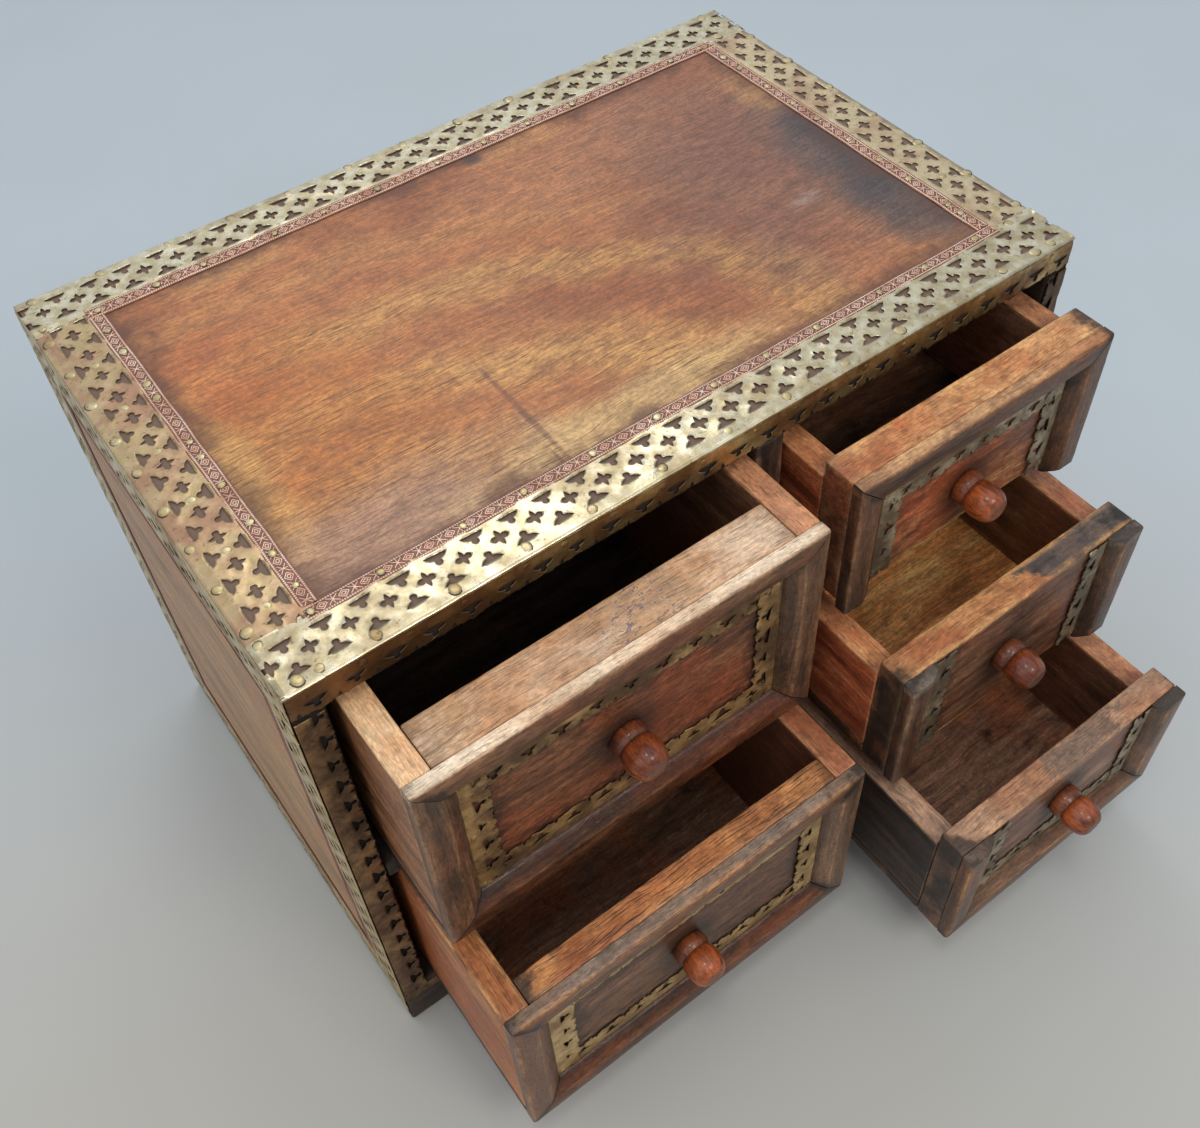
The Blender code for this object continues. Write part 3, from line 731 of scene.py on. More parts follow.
def star_reach(turn):
    """Reach of a star hole by direction: round lobes along the strip, pointed tips across it."""
    angle = np.arctan2(np.abs(np.sin(turn)), np.abs(np.cos(turn)))
    notch = math.asin(STAR_LOBE_RADIUS / STAR_LOBE_PLACE)
    side = STAR_LOBE_PLACE * np.sin(angle)
    lobe = STAR_LOBE_PLACE * np.cos(angle) + np.sqrt(np.maximum(STAR_LOBE_RADIUS ** 2 - side ** 2, 0))
    notch_reach = STAR_LOBE_PLACE * math.cos(notch)
    share = np.clip((angle - notch) / (math.pi / 2 - notch), 0, 1)
    return np.where(angle < notch, lobe, notch_reach + (STAR_TIP - notch_reach) * share ** 1.7)


def trefoil_reach(turn):
    """Reach of a trefoil hole by direction: a flat base below, swelling shoulders, a round lobe above."""
    angle = np.arctan2(np.sin(turn), np.abs(np.cos(turn)))
    corner = -math.atan2(TREFOIL_CENTRE, TREFOIL_HALF_BASE)
    corner_reach = math.hypot(TREFOIL_CENTRE, TREFOIL_HALF_BASE)
    notch = math.pi / 2 - math.asin(TREFOIL_LOBE_RADIUS / TREFOIL_LOBE_PLACE)
    notch_reach = TREFOIL_LOBE_PLACE * math.sin(notch)
    side = TREFOIL_LOBE_PLACE * np.cos(angle)
    lobe = TREFOIL_LOBE_PLACE * np.sin(angle) + np.sqrt(np.maximum(TREFOIL_LOBE_RADIUS ** 2 - side ** 2, 0))
    share = np.clip((notch - angle) / (notch - corner), 0, 1)
    shoulder = notch_reach + (corner_reach - notch_reach) * share ** 1.8
    base = TREFOIL_CENTRE / np.maximum(-np.sin(angle), 1e-6)
    return np.where(angle < corner, base, np.where(angle < notch, shoulder, lobe))


def round_polygon(corners, shares):
    """Points round a polygon: along each edge, at that edge's shares of its length."""
    corners = np.array(corners)
    following = np.roll(corners, -1, axis=0)
    return np.concatenate([corners[i] + np.array(share)[:, None] * (following[i] - corners[i])
                           for i, share in enumerate(shares)])


# Shares of a tile edge's length at which its points lie, there and back, so that neighbouring tiles meet at
# the same points
SLANT = np.array((0.0, 0.12, 0.24, 0.36, 0.50, 0.66, 0.83))
SLANT_BACK = np.array((0.0, 0.17, 0.34, 0.50, 0.64, 0.76, 0.88))
LEVEL = np.linspace(0, 1, 6, endpoint=False)
UPRIGHT = np.array((0.0, 0.30, 0.56, 0.78))
UPRIGHT_BACK = np.array((0.0, 0.22, 0.44, 0.70))


def ring_tiles(centres, corners, shares, reach, draw, rough, hole_size):
    """Tiles with a hole each: rings from the hole's outline out to the tile's polygon, one row per tile.

    Every hole is a little larger or smaller, turned and moved, as cut by hand, and more so on rough work.
    """
    outer = round_polygon(corners, shares)
    turn = np.arctan2(outer[:, 1], outer[:, 0])
    count = len(centres)
    twist = draw.normal(0, HOLE_TWIST * rough, count)[:, None]
    scale = draw.normal(hole_size, HOLE_SPREAD * rough, count)[:, None]
    moved = draw.normal(0, HOLE_SHIFT * rough, (count, 1, 2))
    jags = draw.normal(0, HOLE_JAGS, (count, len(turn))) * max(rough - 1, 0)
    reaches = reach(turn)[None, :] * (scale + jags)
    angle = turn[None, :] + twist
    hole = np.stack((reaches * np.cos(angle), reaches * np.sin(angle)), axis=-1) + moved
    outer = np.broadcast_to(outer, hole.shape)
    lip = hole + (outer - hole) * HOLE_LIP
    rings = np.stack((hole, lip, outer), axis=1)
    points = centres[:, None, None, :] + rings
    rim = np.broadcast_to(np.array((1.0, 0.25, 0.0))[None, :, None], points.shape[:3])
    sides = hole.shape[1]
    quads = grid_quads(3, sides, ring=True)
    faces = quads[None] + (np.arange(count) * 3 * sides)[:, None, None]
    return points.reshape(-1, 2), faces.reshape(-1, 4), rim.reshape(-1)


def flat_sheet(length, phase, halves, seed, trim, width, rough, hole_size):
    """Pierced sheet laid flat: places along and across it, its faces and how near a point is to a hole.

    One half is a row of trefoils and half of the star row; the second half mirrors it. A sheet of one half
    is cut through its stars. The tiles are merged, the ends are cut off square, and a trim takes that much
    off the outer margin.
    """
    draw = np.random.default_rng(seed)
    half = SHEET_PITCH / 2
    cells = int(length / SHEET_PITCH) + 3
    stars = (np.arange(cells) - 1) * SHEET_PITCH + phase
    rise = SHEET_STAR_ROW - SHEET_TILE_CORNER
    diamond = ((half, 0.0), (0.0, rise), (-half, 0.0), (0.0, -rise))
    star_shares = (SLANT_BACK, SLANT, SLANT_BACK, SLANT)
    base = SHEET_MARGIN + TREFOIL_CENTRE
    floor = SHEET_FOLD[-1] - base
    house = ((-half, floor), (half, floor), (half, SHEET_TILE_CORNER - base), (0.0, SHEET_STAR_ROW - base),
             (-half, SHEET_TILE_CORNER - base))
    house_shares = (LEVEL, UPRIGHT, SLANT, SLANT_BACK, UPRIGHT_BACK)
    star_centres = np.stack((stars, np.full(cells, SHEET_STAR_ROW)), axis=-1)
    trefoil_centres = np.stack((stars + half, np.full(cells, base)), axis=-1)
    run, over = np.meshgrid(stars[0] + np.arange(6 * cells + 1) * SHEET_PITCH / 6, SHEET_FOLD, indexing="ij")
    fold = np.stack((run.ravel(), over.ravel()), axis=-1)
    fold_faces = grid_quads(6 * cells + 1, len(SHEET_FOLD))[:, ::-1]
    folded = (fold, fold_faces, np.zeros(len(fold)))
    trefoils = (trefoil_centres, house, house_shares, trefoil_reach, draw, rough, hole_size)
    blocks = [folded, ring_tiles(star_centres, diamond, star_shares, star_reach, draw, rough, hole_size),
              ring_tiles(*trefoils)]
    if halves == 2:
        for points, faces, rim in (folded, ring_tiles(*trefoils)):
            blocks.append((points * (1, -1) + (0, 2 * SHEET_STAR_ROW), faces[:, ::-1], rim))
    shape = bmesh.new()
    mesh = make_mesh("flat", *joined_blocks(blocks))
    shape.from_mesh(mesh)
    bpy.data.meshes.remove(mesh)
    bmesh.ops.remove_doubles(shape, verts=shape.verts, dist=0.02 * MM)
    cuts = [((0, 0, 0), (-1, 0, 0)), ((length, 0, 0), (1, 0, 0))]
    if width is None and halves == 1:
        width = SHEET_STAR_ROW
    if width is not None:
        cuts.append(((0, width, 0), (0, 1, 0)))
    if trim > 0:
        cuts.append(((0, trim, 0), (0, -1, 0)))
    for place, normal in cuts:
        everything = shape.verts[:] + shape.edges[:] + shape.faces[:]
        bmesh.ops.bisect_plane(shape, geom=everything, dist=1e-6, plane_co=place, plane_no=normal,
                               clear_outer=True)
    bmesh.ops.translate(shape, vec=(0, -trim, 0), verts=shape.verts)
    mesh = bpy.data.meshes.new("flat_cut")
    shape.to_mesh(mesh)
    shape.free()
    return mesh


def joined_blocks(blocks):
    """Blocks of flat points, faces and rim values, numbered as one."""
    starts = np.cumsum([0] + [len(points) for points, faces, rim in blocks])
    points = np.concatenate([block[0] for block in blocks])
    faces = np.concatenate([block[1] + start for block, start in zip(blocks, starts)])
    rim = np.concatenate([block[2] for block in blocks])
    points = np.column_stack((points, np.zeros(len(points))))
    return points, [faces], {"rim": rim}


def lay_sheet(flat_mesh, seed, origin, along, across, outward, level=SHEET_LEVEL, lip=0.0, ragged=0.15 * MM,
              crumple=1.0):
    """Pierced sheet set on a face: along and across it, with soft dents and wavy cut edges.

    The outermost millimetre bends down by the lip as a parabola, and the metal rises a little round holes.
    """
    count = len(flat_mesh.vertices)
    flat = np.empty(count * 3, np.float32)
    flat_mesh.vertices.foreach_get("co", flat)
    u, v = flat.reshape(-1, 3).astype(float).T[:2]
    rim = np.empty(count, np.float32)
    flat_mesh.attributes["rim"].data.foreach_get("value", rim)
    wave = ripple(u, seed + 3, 0.012) + 0.8 * ripple(u, seed + 4, 0.003)
    v = np.where(v.max() - v < 0.05 * MM, v - ragged * (0.8 + 0.8 * wave), v)
    bumps = sum(high * dents(u, v, seed + 5 + place, long) for place, (high, long) in enumerate(SHEET_DENTS))
    outer = np.clip(1 - v / SHEET_FOLD[-1], 0, 1) ** 2
    height = level + crumple * bumps + HOLE_RISE * rim - lip * outer
    points = origin + u[:, None] * along + v[:, None] * across + height[:, None] * outward
    flat_mesh.vertices.foreach_set("co", points.astype(np.float32).ravel())
    if np.cross(along, across) @ outward < 0:
        flat_mesh.flip_normals()
    flat_mesh.update()
    return flat_mesh


def add_sheet(name, material, body, length, phase, halves, seed, origin, along, across, outward,
              stands_for=(), trim=0.0, width=None, rough=1.0, hole_size=1.0, **laying):
    """Pierced sheet of metal as a piece with its thickness."""
    flat = flat_sheet(length, phase, halves, seed, trim, width, rough, hole_size)
    mesh = lay_sheet(flat, seed, np.array(origin), along, across, outward, **laying)
    piece = add_piece(name, mesh, material, body, stands_for, sharp=50.0)
    thickness = piece.modifiers.new("thickness", "SOLIDIFY")
    thickness.thickness = SHEET_THICKNESS
    thickness.offset = -1.0
    return piece


def copper_height(u, v):
    """Stamped relief from 0 to 1: beads along both edges, crosses and double lozenges between them."""
    side = np.abs(v)
    bead = (u / COPPER_BEAD_PITCH + 0.5) % 1.0 - 0.5
    rise = 1 - (bead / 0.47) ** 2 - ((side - COPPER_BEAD_PLACE) / COPPER_BEAD_HALF) ** 2
    beads = np.sqrt(np.clip(rise, 0, 1))
    cell = (u / COPPER_PERIOD) % 1.0 * COPPER_PERIOD
    cross = np.abs(cell - COPPER_PERIOD / 4)
    lozenge = np.abs(cell - 3 * COPPER_PERIOD / 4)
    cross_gap = np.minimum(np.abs(0.8 * cross - side) * 0.78, cross)
    lozenge_gaps = [np.abs(lozenge / long + side / wide - 1) * slope for long, wide, slope in COPPER_LOZENGES]
    gap = np.where(cell < COPPER_PERIOD / 2, cross_gap, np.minimum(*lozenge_gaps))
    lines = np.exp(-(gap / COPPER_LINE) ** 2) * (side < COPPER_FIELD)
    return np.maximum(beads, 0.85 * lines)


def copper_strip(name, length, origin, along, across, outward, seed, rest, step=COPPER_STEP):
    """Stamped strip: its relief over a fine grid, closed by two straight lines beneath and flat ends.

    The rest gives how high its outer and its inner edge lie above the face.
    """
    half = COPPER_HALF_WIDTH
    rows = int(length / step)
    columns = int(2 * half / step)
    u, v = np.meshgrid(np.linspace(0, length, rows), np.linspace(-half, half, columns), indexing="ij")
    relief = copper_height(u, v)
    share = (v + half) / (2 * half)
    ground = rest[0] + (rest[1] - rest[0]) * np.clip((share - 0.55) / 0.45, 0, 1) ** 1.5
    lift = ground + COPPER_BASE + COPPER_RELIEF * relief + 0.05 * MM * dents(u, v, seed, 0.02)
    waver = 0.18 * MM * ripple(u, seed + 1, 0.04)
    top = np.stack((u, v + waver, lift), axis=-1)
    under = np.stack((u[:, (-1, 0)], v[:, (-1, 0)] + waver[:, (-1, 0)], ground[:, (-1, 0)]), axis=-1)
    local = np.concatenate((top, under), axis=1)
    points = origin + local[..., :1] * along + local[..., 1:2] * across + local[..., 2:] * outward
    faces = tube_faces(rows, columns + 2, np.cross(across, outward) @ along >= 0)
    values = {"relief": np.concatenate((relief, 0 * relief[:, :2]), axis=1).ravel()}
    return make_mesh(name, points.reshape(-1, 3), faces, values)


def tack_heads(name, spots, outward, seed, radius=TACK_RADIUS, height=TACK_HEIGHT):
    """Round tack heads: for each spot rings from a dirty skirt up to a broad flat crown."""
    spots = np.array(spots)
    draw = np.random.default_rng(seed)
    outward = np.array(outward)
    first = np.cross(outward, Z if abs(outward[2]) < 0.5 else X)
    second = np.cross(outward, first)
    share, rise, dirt = np.array(TACK_PROFILE).T
    turn = np.linspace(0, TURN, TACK_SIDES, endpoint=False)
    radii = radius * draw.uniform(0.84, 1.14, len(spots))[:, None, None]
    tall = height * draw.uniform(0.75, 1.1, len(spots))[:, None, None]
    squash = 1 + 0.07 * np.sin(2 * turn + draw.uniform(0, TURN, (len(spots), 1)))[:, None, :]
    flat = radii * share[None, :, None] * squash
    lean = draw.normal(0, 0.04, (len(spots), 1, 1)) * flat * np.cos(turn + 1.0)
    points = (spots[:, None, None, :]
              + (flat * np.cos(turn))[..., None] * first
              + (flat * np.sin(turn))[..., None] * second
              + (tall * rise[None, :, None] + lean)[..., None] * outward)
    quads = grid_quads(len(share), TACK_SIDES, ring=True)
    crown = np.arange(TACK_SIDES)[None, :] + (len(share) - 1) * TACK_SIDES
    sole = np.arange(TACK_SIDES)[None, ::-1]
    step = (np.arange(len(spots)) * len(share) * TACK_SIDES)[:, None, None]
    blocks = [(quads[None] + step).reshape(-1, 4), (crown[None] + step).reshape(-1, TACK_SIDES),
              (sole[None] + step).reshape(-1, TACK_SIDES)]
    if np.cross(first, second) @ outward < 0:
        blocks = [block[:, ::-1] for block in blocks]
    rim = np.broadcast_to(dirt[None, :, None], points.shape[:3]).ravel()
    return make_mesh(name, points.reshape(-1, 3), blocks, {"rim": rim})


def tack_row(start, step, count, seed, spread=1.2 * MM):
    """Spots in a row from a start, one step apart, each a little off its place along the row."""
    step = np.array(step)
    shifts = np.random.default_rng(seed).normal(0, spread / 2, (count, 3)) * (np.abs(step) > 1e-6)
    return np.array(start) + np.arange(count)[:, None] * step + shifts


def tack_rows(first_seed, spread, rows):
    """Spots of several rows of tacks, each given by its start, step and count."""
    spots = [tack_row(*row, first_seed + place, spread) for place, row in enumerate(rows)]
    return np.concatenate(spots)


def knob_mesh(node, front_face, seed):
    """Turned knob: a bun collar, a groove and a domed head, a profile carried round the knob's axis."""
    low, high = box_of(node)
    centre = (low + high) / 2
    distance, radius = np.array(KNOB_PROFILE).T * MM
    turn = np.linspace(0, TURN, KNOB_SIDES, endpoint=False)
    wobble = 1 + 0.012 * np.sin(2 * turn + seed)[None, :] + 0.006 * np.sin(5 * turn + 2 * seed)[None, :]
    reach = radius[:, None] * wobble
    out = np.repeat(np.minimum(distance, front_face - low[1])[:, None], KNOB_SIDES, axis=1)
    aside = reach * np.cos(turn)
    up = reach * np.sin(turn)
    points = np.stack((centre[0] + aside, front_face - out, centre[2] + up), axis=-1).reshape(-1, 3)
    groove = 0.6 * np.exp(-((distance - KNOB_GROOVE) / (0.8 * MM)) ** 2)
    seat = 0.8 * np.exp(-((distance + 0.2 * MM) / (0.8 * MM)) ** 2)
    end = np.clip((distance - KNOB_END) / (0.3 * MM), 0, 1)
    collar = np.clip((KNOB_GROOVE + 0.2 * MM - distance) / (1.0 * MM), 0, 1)
    values = {"grain": np.stack((0.5 * out, aside, up), axis=-1).reshape(-1, 3) + seed}
    for key, along in (("edge", groove + seat), ("rub", end), ("inner", collar)):
        values[key] = np.repeat(along, KNOB_SIDES)
    return make_mesh(node + "_turned", points, tube_faces(len(distance), KNOB_SIDES), values)


def metal_material(name, bright, pale, tarnished, dirt, cloud, roughness, bump=0.2, tarnish_share=0.85,
                   relief=None, metallic=0.92, rim_dirt=(0.15, 0.75), dull=None):
    """Aged sheet metal: bright and pale patches, brown tarnish clouds and dirt near holes and rims.

    Relief is the colour of the ground between raised ornament. A dull span runs along X and paints a dim
    reflection: before its start the metal takes its tarnished colour, after its end it is as bright as ever.
    """
    material, tree, shader = new_material(name)
    place = tree.place()
    aged = tree.group(TARNISH, {"Place": place})
    colour = tree.mix(tree.span(aged["Dimples"], 0.35, 0.65), bright, pale)
    colour = tree.mix(tree.span(aged["Clouds"], *cloud, 0.0, tarnish_share), colour, tarnished)
    # Painted dim reflection: tarnished colour before the dull span
    if dull is not None:
        colour = tree.mix(tree.span(tree.axes(place)["X"], *dull, 0.85, 0.0), colour, tarnished)
    dirty = tree.times(tree.attribute("rim"), tree.span(aged["Specks"], 0.28, 0.62, *rim_dirt))
    colour = tree.mix(dirty, colour, dirt)
    colour = tree.mix(tree.span(aged["Specks"], 0.60, 0.74, 0.0, 0.5), colour, dirt)
    if relief is not None:
        ground = tree.span(tree.attribute("relief"), 0.10, 0.60, 1.0, 0.0)
        colour = tree.mix(tree.times(ground, 0.92), colour, relief)
    tree.put(shader.inputs["Metallic"], tree.span(dirty, 0.2, 0.9, metallic, 0.1 * metallic))
    rough = tree.plus(tree.span(aged["Clouds"], 0.35, 0.70, *roughness), tree.times(dirty, 0.25))
    height = tree.plus(tree.times(aged["Scratches"], 0.2), aged["Dimples"])
    cover(tree, shader, colour, rough, height, bump, 0.5 * MM)
    return material


def top_material():
    """Top board: polished red-brown wood, mottled, with golden growth rings, worn patches and stains.

    Growth rings are ellipses round a point at the front edge, left of its middle, broken up by clouds. Along
    the metal border the field darkens. Beneath the brass the wood is dull and dirty, and on its edges almost
    black. A greyish patch at the front left is painted sheen, a painted reflection on the varnish.
    """
    material, tree, shader = new_material("top_finish")
    place = tree.place()
    figure = wood_figure(tree)
    axes = tree.axes(place)
    aside = tree.away(axes["X"])
    ahead = tree.away(axes["Y"])
    blotches = figure["Blotches"]
    colour = tree.mix(tree.span(figure["Patches"], 0.38, 0.62), (154, 93, 58), (180, 115, 71))
    colour = tree.mix(tree.span(blotches, 0.48, 0.64, 0.0, 0.35), colour, (140, 84, 54))
    waver = tree.plus(tree.times(figure["Patches"], 50 * MM), tree.times(blotches, 24 * MM))
    ring = tree.plus(tree.reach(place, TOP_RING_CENTRE, TOP_RING_SHAPE), tree.minus(waver, 37 * MM))
    bands = [tree.span(tree.away(ring, radius * MM), 0.0, width * MM, strength, 0.0)
             for radius, width, strength in TOP_RINGS]
    golden = tree.times(tree.most(*bands), tree.span(figure["Mottle"], 0.30, 0.58, 0.45, 1.0))
    colour = tree.mix(golden, colour, (202, 152, 91))
    # Patches of wear and stain, and one of painted sheen
    for middle, half, display, strength in TOP_PATCHES_AND_SHEEN:
        mask = tree.oval(place, np.array(middle) * MM, np.array(half) * MM, blotches)
        colour = tree.mix(tree.times(mask, strength), colour, display)
    colour = tree.deepen(colour, tree.span(figure["Fibres"], 0.34, 0.66, 0.82, 1.14),
                         tree.span(figure["Mottle"], 0.32, 0.68, 0.80, 1.16),
                         tree.span(figure["Speckle"], 0.34, 0.66, 0.80, 1.15))
    worn = tree.times(figure["Pores"], tree.span(golden, 0.0, 0.8, 0.35, 0.80))
    colour = tree.mix(worn, colour, (84, 50, 30))
    waver = tree.swing(blotches, 45 * MM)
    near = tree.rim(tree.plus(aside, waver), tree.plus(ahead, waver), TOP_DARK_RIM)
    colour = tree.mix(tree.times(near, 0.72), colour, (84, 54, 40))
    under = tree.rim(aside, ahead, TOP_BRASS_RIM)
    colour = tree.mix(tree.times(under, 0.93), colour, (118, 96, 82))
    outside = tree.rim(aside, ahead, TOP_EDGE_RIM)
    colour = tree.mix(tree.times(outside, 0.95), colour, (40, 29, 22))
    rough = tree.plus(tree.span(figure["Mottle"], 0.30, 0.70, 0.34, 0.50), tree.times(under, 0.3))
    shader.inputs["Specular IOR Level"].default_value = 0.4
    height = tree.minus(tree.plus(figure["Fibres"], figure["Speckle"]), figure["Pores"])
    cover(tree, shader, colour, rough, height, 0.2)
    return material


def knob_material():
    """Varnished turned wood: mottled red-brown with crinkled varnish, a dark collar and a dull grey end."""
    material, tree, shader = new_material("knob_finish")
    figure = wood_figure(tree)
    rub = tree.attribute("rub")
    colour = tree.mix(tree.span(figure["Blotches"], 0.36, 0.62), (104, 46, 22), (182, 92, 42))
    colour = tree.mix(tree.span(figure["Mottle"], 0.50, 0.68, 0.0, 0.7), colour, (50, 26, 17))
    colour = tree.deepen(colour, tree.span(figure["Fibres"], 0.34, 0.66, 0.88, 1.12),
                         tree.span(figure["Speckle"], 0.34, 0.66, 0.75, 1.22))
    colour = tree.mix(tree.times(rub, 0.45), colour, (98, 72, 58))
    colour = tree.mix(tree.times(tree.attribute("inner"), 0.45), colour, BLACK_STAIN)
    colour = tree.mix(tree.attribute("edge"), colour, (24, 13, 9))
    rough = tree.plus(tree.span(figure["Mottle"], 0.3, 0.7, 0.26, 0.44), tree.times(rub, 0.3))
    shader.inputs["Specular IOR Level"].default_value = 0.35
    shader.inputs["Coat Weight"].default_value = 0.35
    shader.inputs["Coat Roughness"].default_value = 0.12
    height = tree.plus(tree.times(figure["Speckle"], 1.6), tree.times(figure["Mottle"], 1.5))
    cover(tree, shader, colour, rough, height, 0.7, 0.5 * MM)
    return material


# Options that drawer fronts and mouldings share
FRONT = {"clouds": 0.3, "roughness": (0.30, 0.50)}
STICK = {"roughness": (0.28, 0.44)}

# Woods: display colours of dark, middle and light streaks and of worn edges, and what differs from a plain
# board
WOODS = {
    "side": ((146, 106, 71), (176, 134, 91), (194, 152, 105), (206, 168, 124), dict(
        blush=(182, 130, 90), stain_level=0.76, pores=0.3, lines=0.16, speckle=0.14, clouds=0.15,
        bare=(101.5 * MM, 33.5 * MM, 272.5 * MM))),
    "back": ((110, 72, 48), (146, 98, 66), (168, 120, 84), (190, 146, 106), dict(
        blush=(140, 86, 54), stain_level=0.74, lines=0.26, speckle=0.14)),
    "dark": ((34, 24, 19), (58, 41, 31), (80, 58, 43), (130, 98, 72), dict(wear=0.5)),
    "pale_rubbed": ((106, 64, 40), (152, 99, 63), (176, 122, 79), (230, 184, 134), dict(
        stain_level=0.70, clouds=0.15, inner=0.85, gloss=0.5, pores=0.25, lines=0.3, cracks=0.4,
        rubbed=((246, 204, 158), (232, 176, 124), (200, 138, 86)))),
    "honey_rubbed": ((130, 80, 50), (188, 120, 74), (214, 146, 90), (216, 160, 108), dict(
        blush=(170, 94, 54), stain_level=0.64, inner=0.7, cracks=0.5,
        rubbed=((182, 112, 64), (138, 80, 48), (150, 74, 42)))),
    # Rubbed tops lightened and less saturated, partly painted sheen
    "warm_rubbed": ((120, 58, 36), (176, 92, 58), (204, 118, 76), (210, 150, 102), dict(
        blush=(172, 74, 44), stain_level=0.68, inner=0.7,
        rubbed=((228, 160, 108), (182, 116, 76), (184, 100, 62)))),
    "russet_rubbed": ((86, 52, 37), (128, 84, 60), (154, 106, 77), (200, 142, 98), dict(
        blush=(132, 76, 50), inner=0.25, rubbed=((200, 138, 98), (150, 98, 69), (162, 90, 58)))),
    "murky_rubbed": ((34, 25, 21), (54, 41, 34), (72, 55, 46), (150, 112, 82), dict(
        stain_level=0.66, rubbed=((196, 154, 124), (150, 118, 98), (160, 112, 82)))),
    # Bottom of the middle right drawer: colours near their top, partly painted light falling into the drawer
    "bottom": ((184, 114, 64), (238, 168, 100), (252, 202, 128), (190, 136, 90), dict(
        blush=(214, 132, 72), stain_level=0.60, lines=0.2)),
    "murky_bottom": ((100, 66, 50), (148, 104, 80), (178, 132, 102), (140, 100, 76), dict(
        blush=(178, 104, 64), stain_level=0.56, lines=0.2)),
    "dim_bottom": ((66, 44, 32), (102, 70, 50), (130, 92, 66), (120, 84, 62), dict(
        blush=(112, 68, 46), stain_level=0.58)),
    "pale_front": ((90, 55, 37), (126, 79, 51), (150, 99, 65), (200, 154, 112), dict(
        FRONT, blush=(142, 72, 42), wear=0.5, stain_level=0.70, ink=(-74 * MM, 34 * MM), ends=0.3,
        rubbed=((228, 194, 162), (188, 145, 106), (182, 126, 80)), panel="upper_left")),
    "orange_front": ((80, 54, 38), (116, 80, 58), (138, 99, 72), (190, 134, 92), dict(
        FRONT, blush=(112, 74, 54), wear=0.5, stain_level=0.64, pores=0.6, cracks=0.75, ends=0.4,
        roughness=(0.28, 0.46), rubbed=((224, 152, 92), (160, 102, 62), (172, 96, 54)), panel="lower_left")),
    "golden_front": ((112, 69, 49), (160, 103, 70), (186, 130, 90), (220, 168, 112), dict(
        FRONT, blush=(170, 84, 48), wear=0.75, stain_level=0.66, ends=0.35, soil=0.40,
        rubbed=((222, 164, 108), (174, 112, 68), (178, 94, 52)), panel="upper_right")),
    "stained_front": ((74, 48, 35), (116, 78, 54), (148, 102, 70), (218, 164, 106), dict(
        FRONT, blush=(124, 70, 44), wear=0.85, stain_level=0.60, spill=(120 * MM, 214 * MM, 0.97), ends=0.25,
        soil=0.40, rubbed=((214, 152, 98), (180, 118, 76), (172, 98, 62)), panel="middle_right")),
    "grey_front": ((94, 68, 53), (136, 100, 78), (160, 124, 100), (200, 152, 112), dict(
        FRONT, blush=(128, 78, 54), wear=0.5, stain_level=0.60, spill=(92 * MM, 144 * MM, 0.56), ends=0.2,
        soil=0.30, rubbed=((206, 160, 126), (170, 132, 104), (176, 120, 84)), panel="lower_right")),
    "stick": ((48, 36, 29), (80, 58, 45), (106, 78, 58), (170, 120, 82), dict(
        STICK, blush=(98, 62, 44), wear=0.5, rubbed=((214, 164, 114), (156, 112, 78), (170, 106, 66)))),
    "ashen_stick": ((46, 34, 28), (76, 55, 43), (102, 75, 56), (176, 130, 92), dict(
        STICK, blush=(92, 59, 42), ends=0.1, rubbed=((186, 172, 156), (136, 122, 108), (128, 104, 84)))),
    "light_stick": ((70, 51, 39), (110, 80, 60), (136, 102, 76), (200, 142, 92), dict(
        STICK, blush=(114, 73, 51), rubbed=((166, 144, 124), (124, 104, 90), (128, 98, 78)))),
    "glossy_stick": ((42, 27, 20), (80, 49, 32), (124, 76, 46), (170, 112, 70), dict(
        blush=(116, 60, 34), wear=0.4, roughness=(0.24, 0.40))),
    # Rubbed tops pale and greyish, partly painted sheen
    "pale_stick": ((62, 43, 31), (104, 72, 50), (134, 92, 64), (186, 138, 96), dict(
        STICK, blush=(112, 64, 42), wear=0.45, stain_level=0.70,
        rubbed=((244, 220, 190), (228, 196, 162), (208, 166, 126))))}

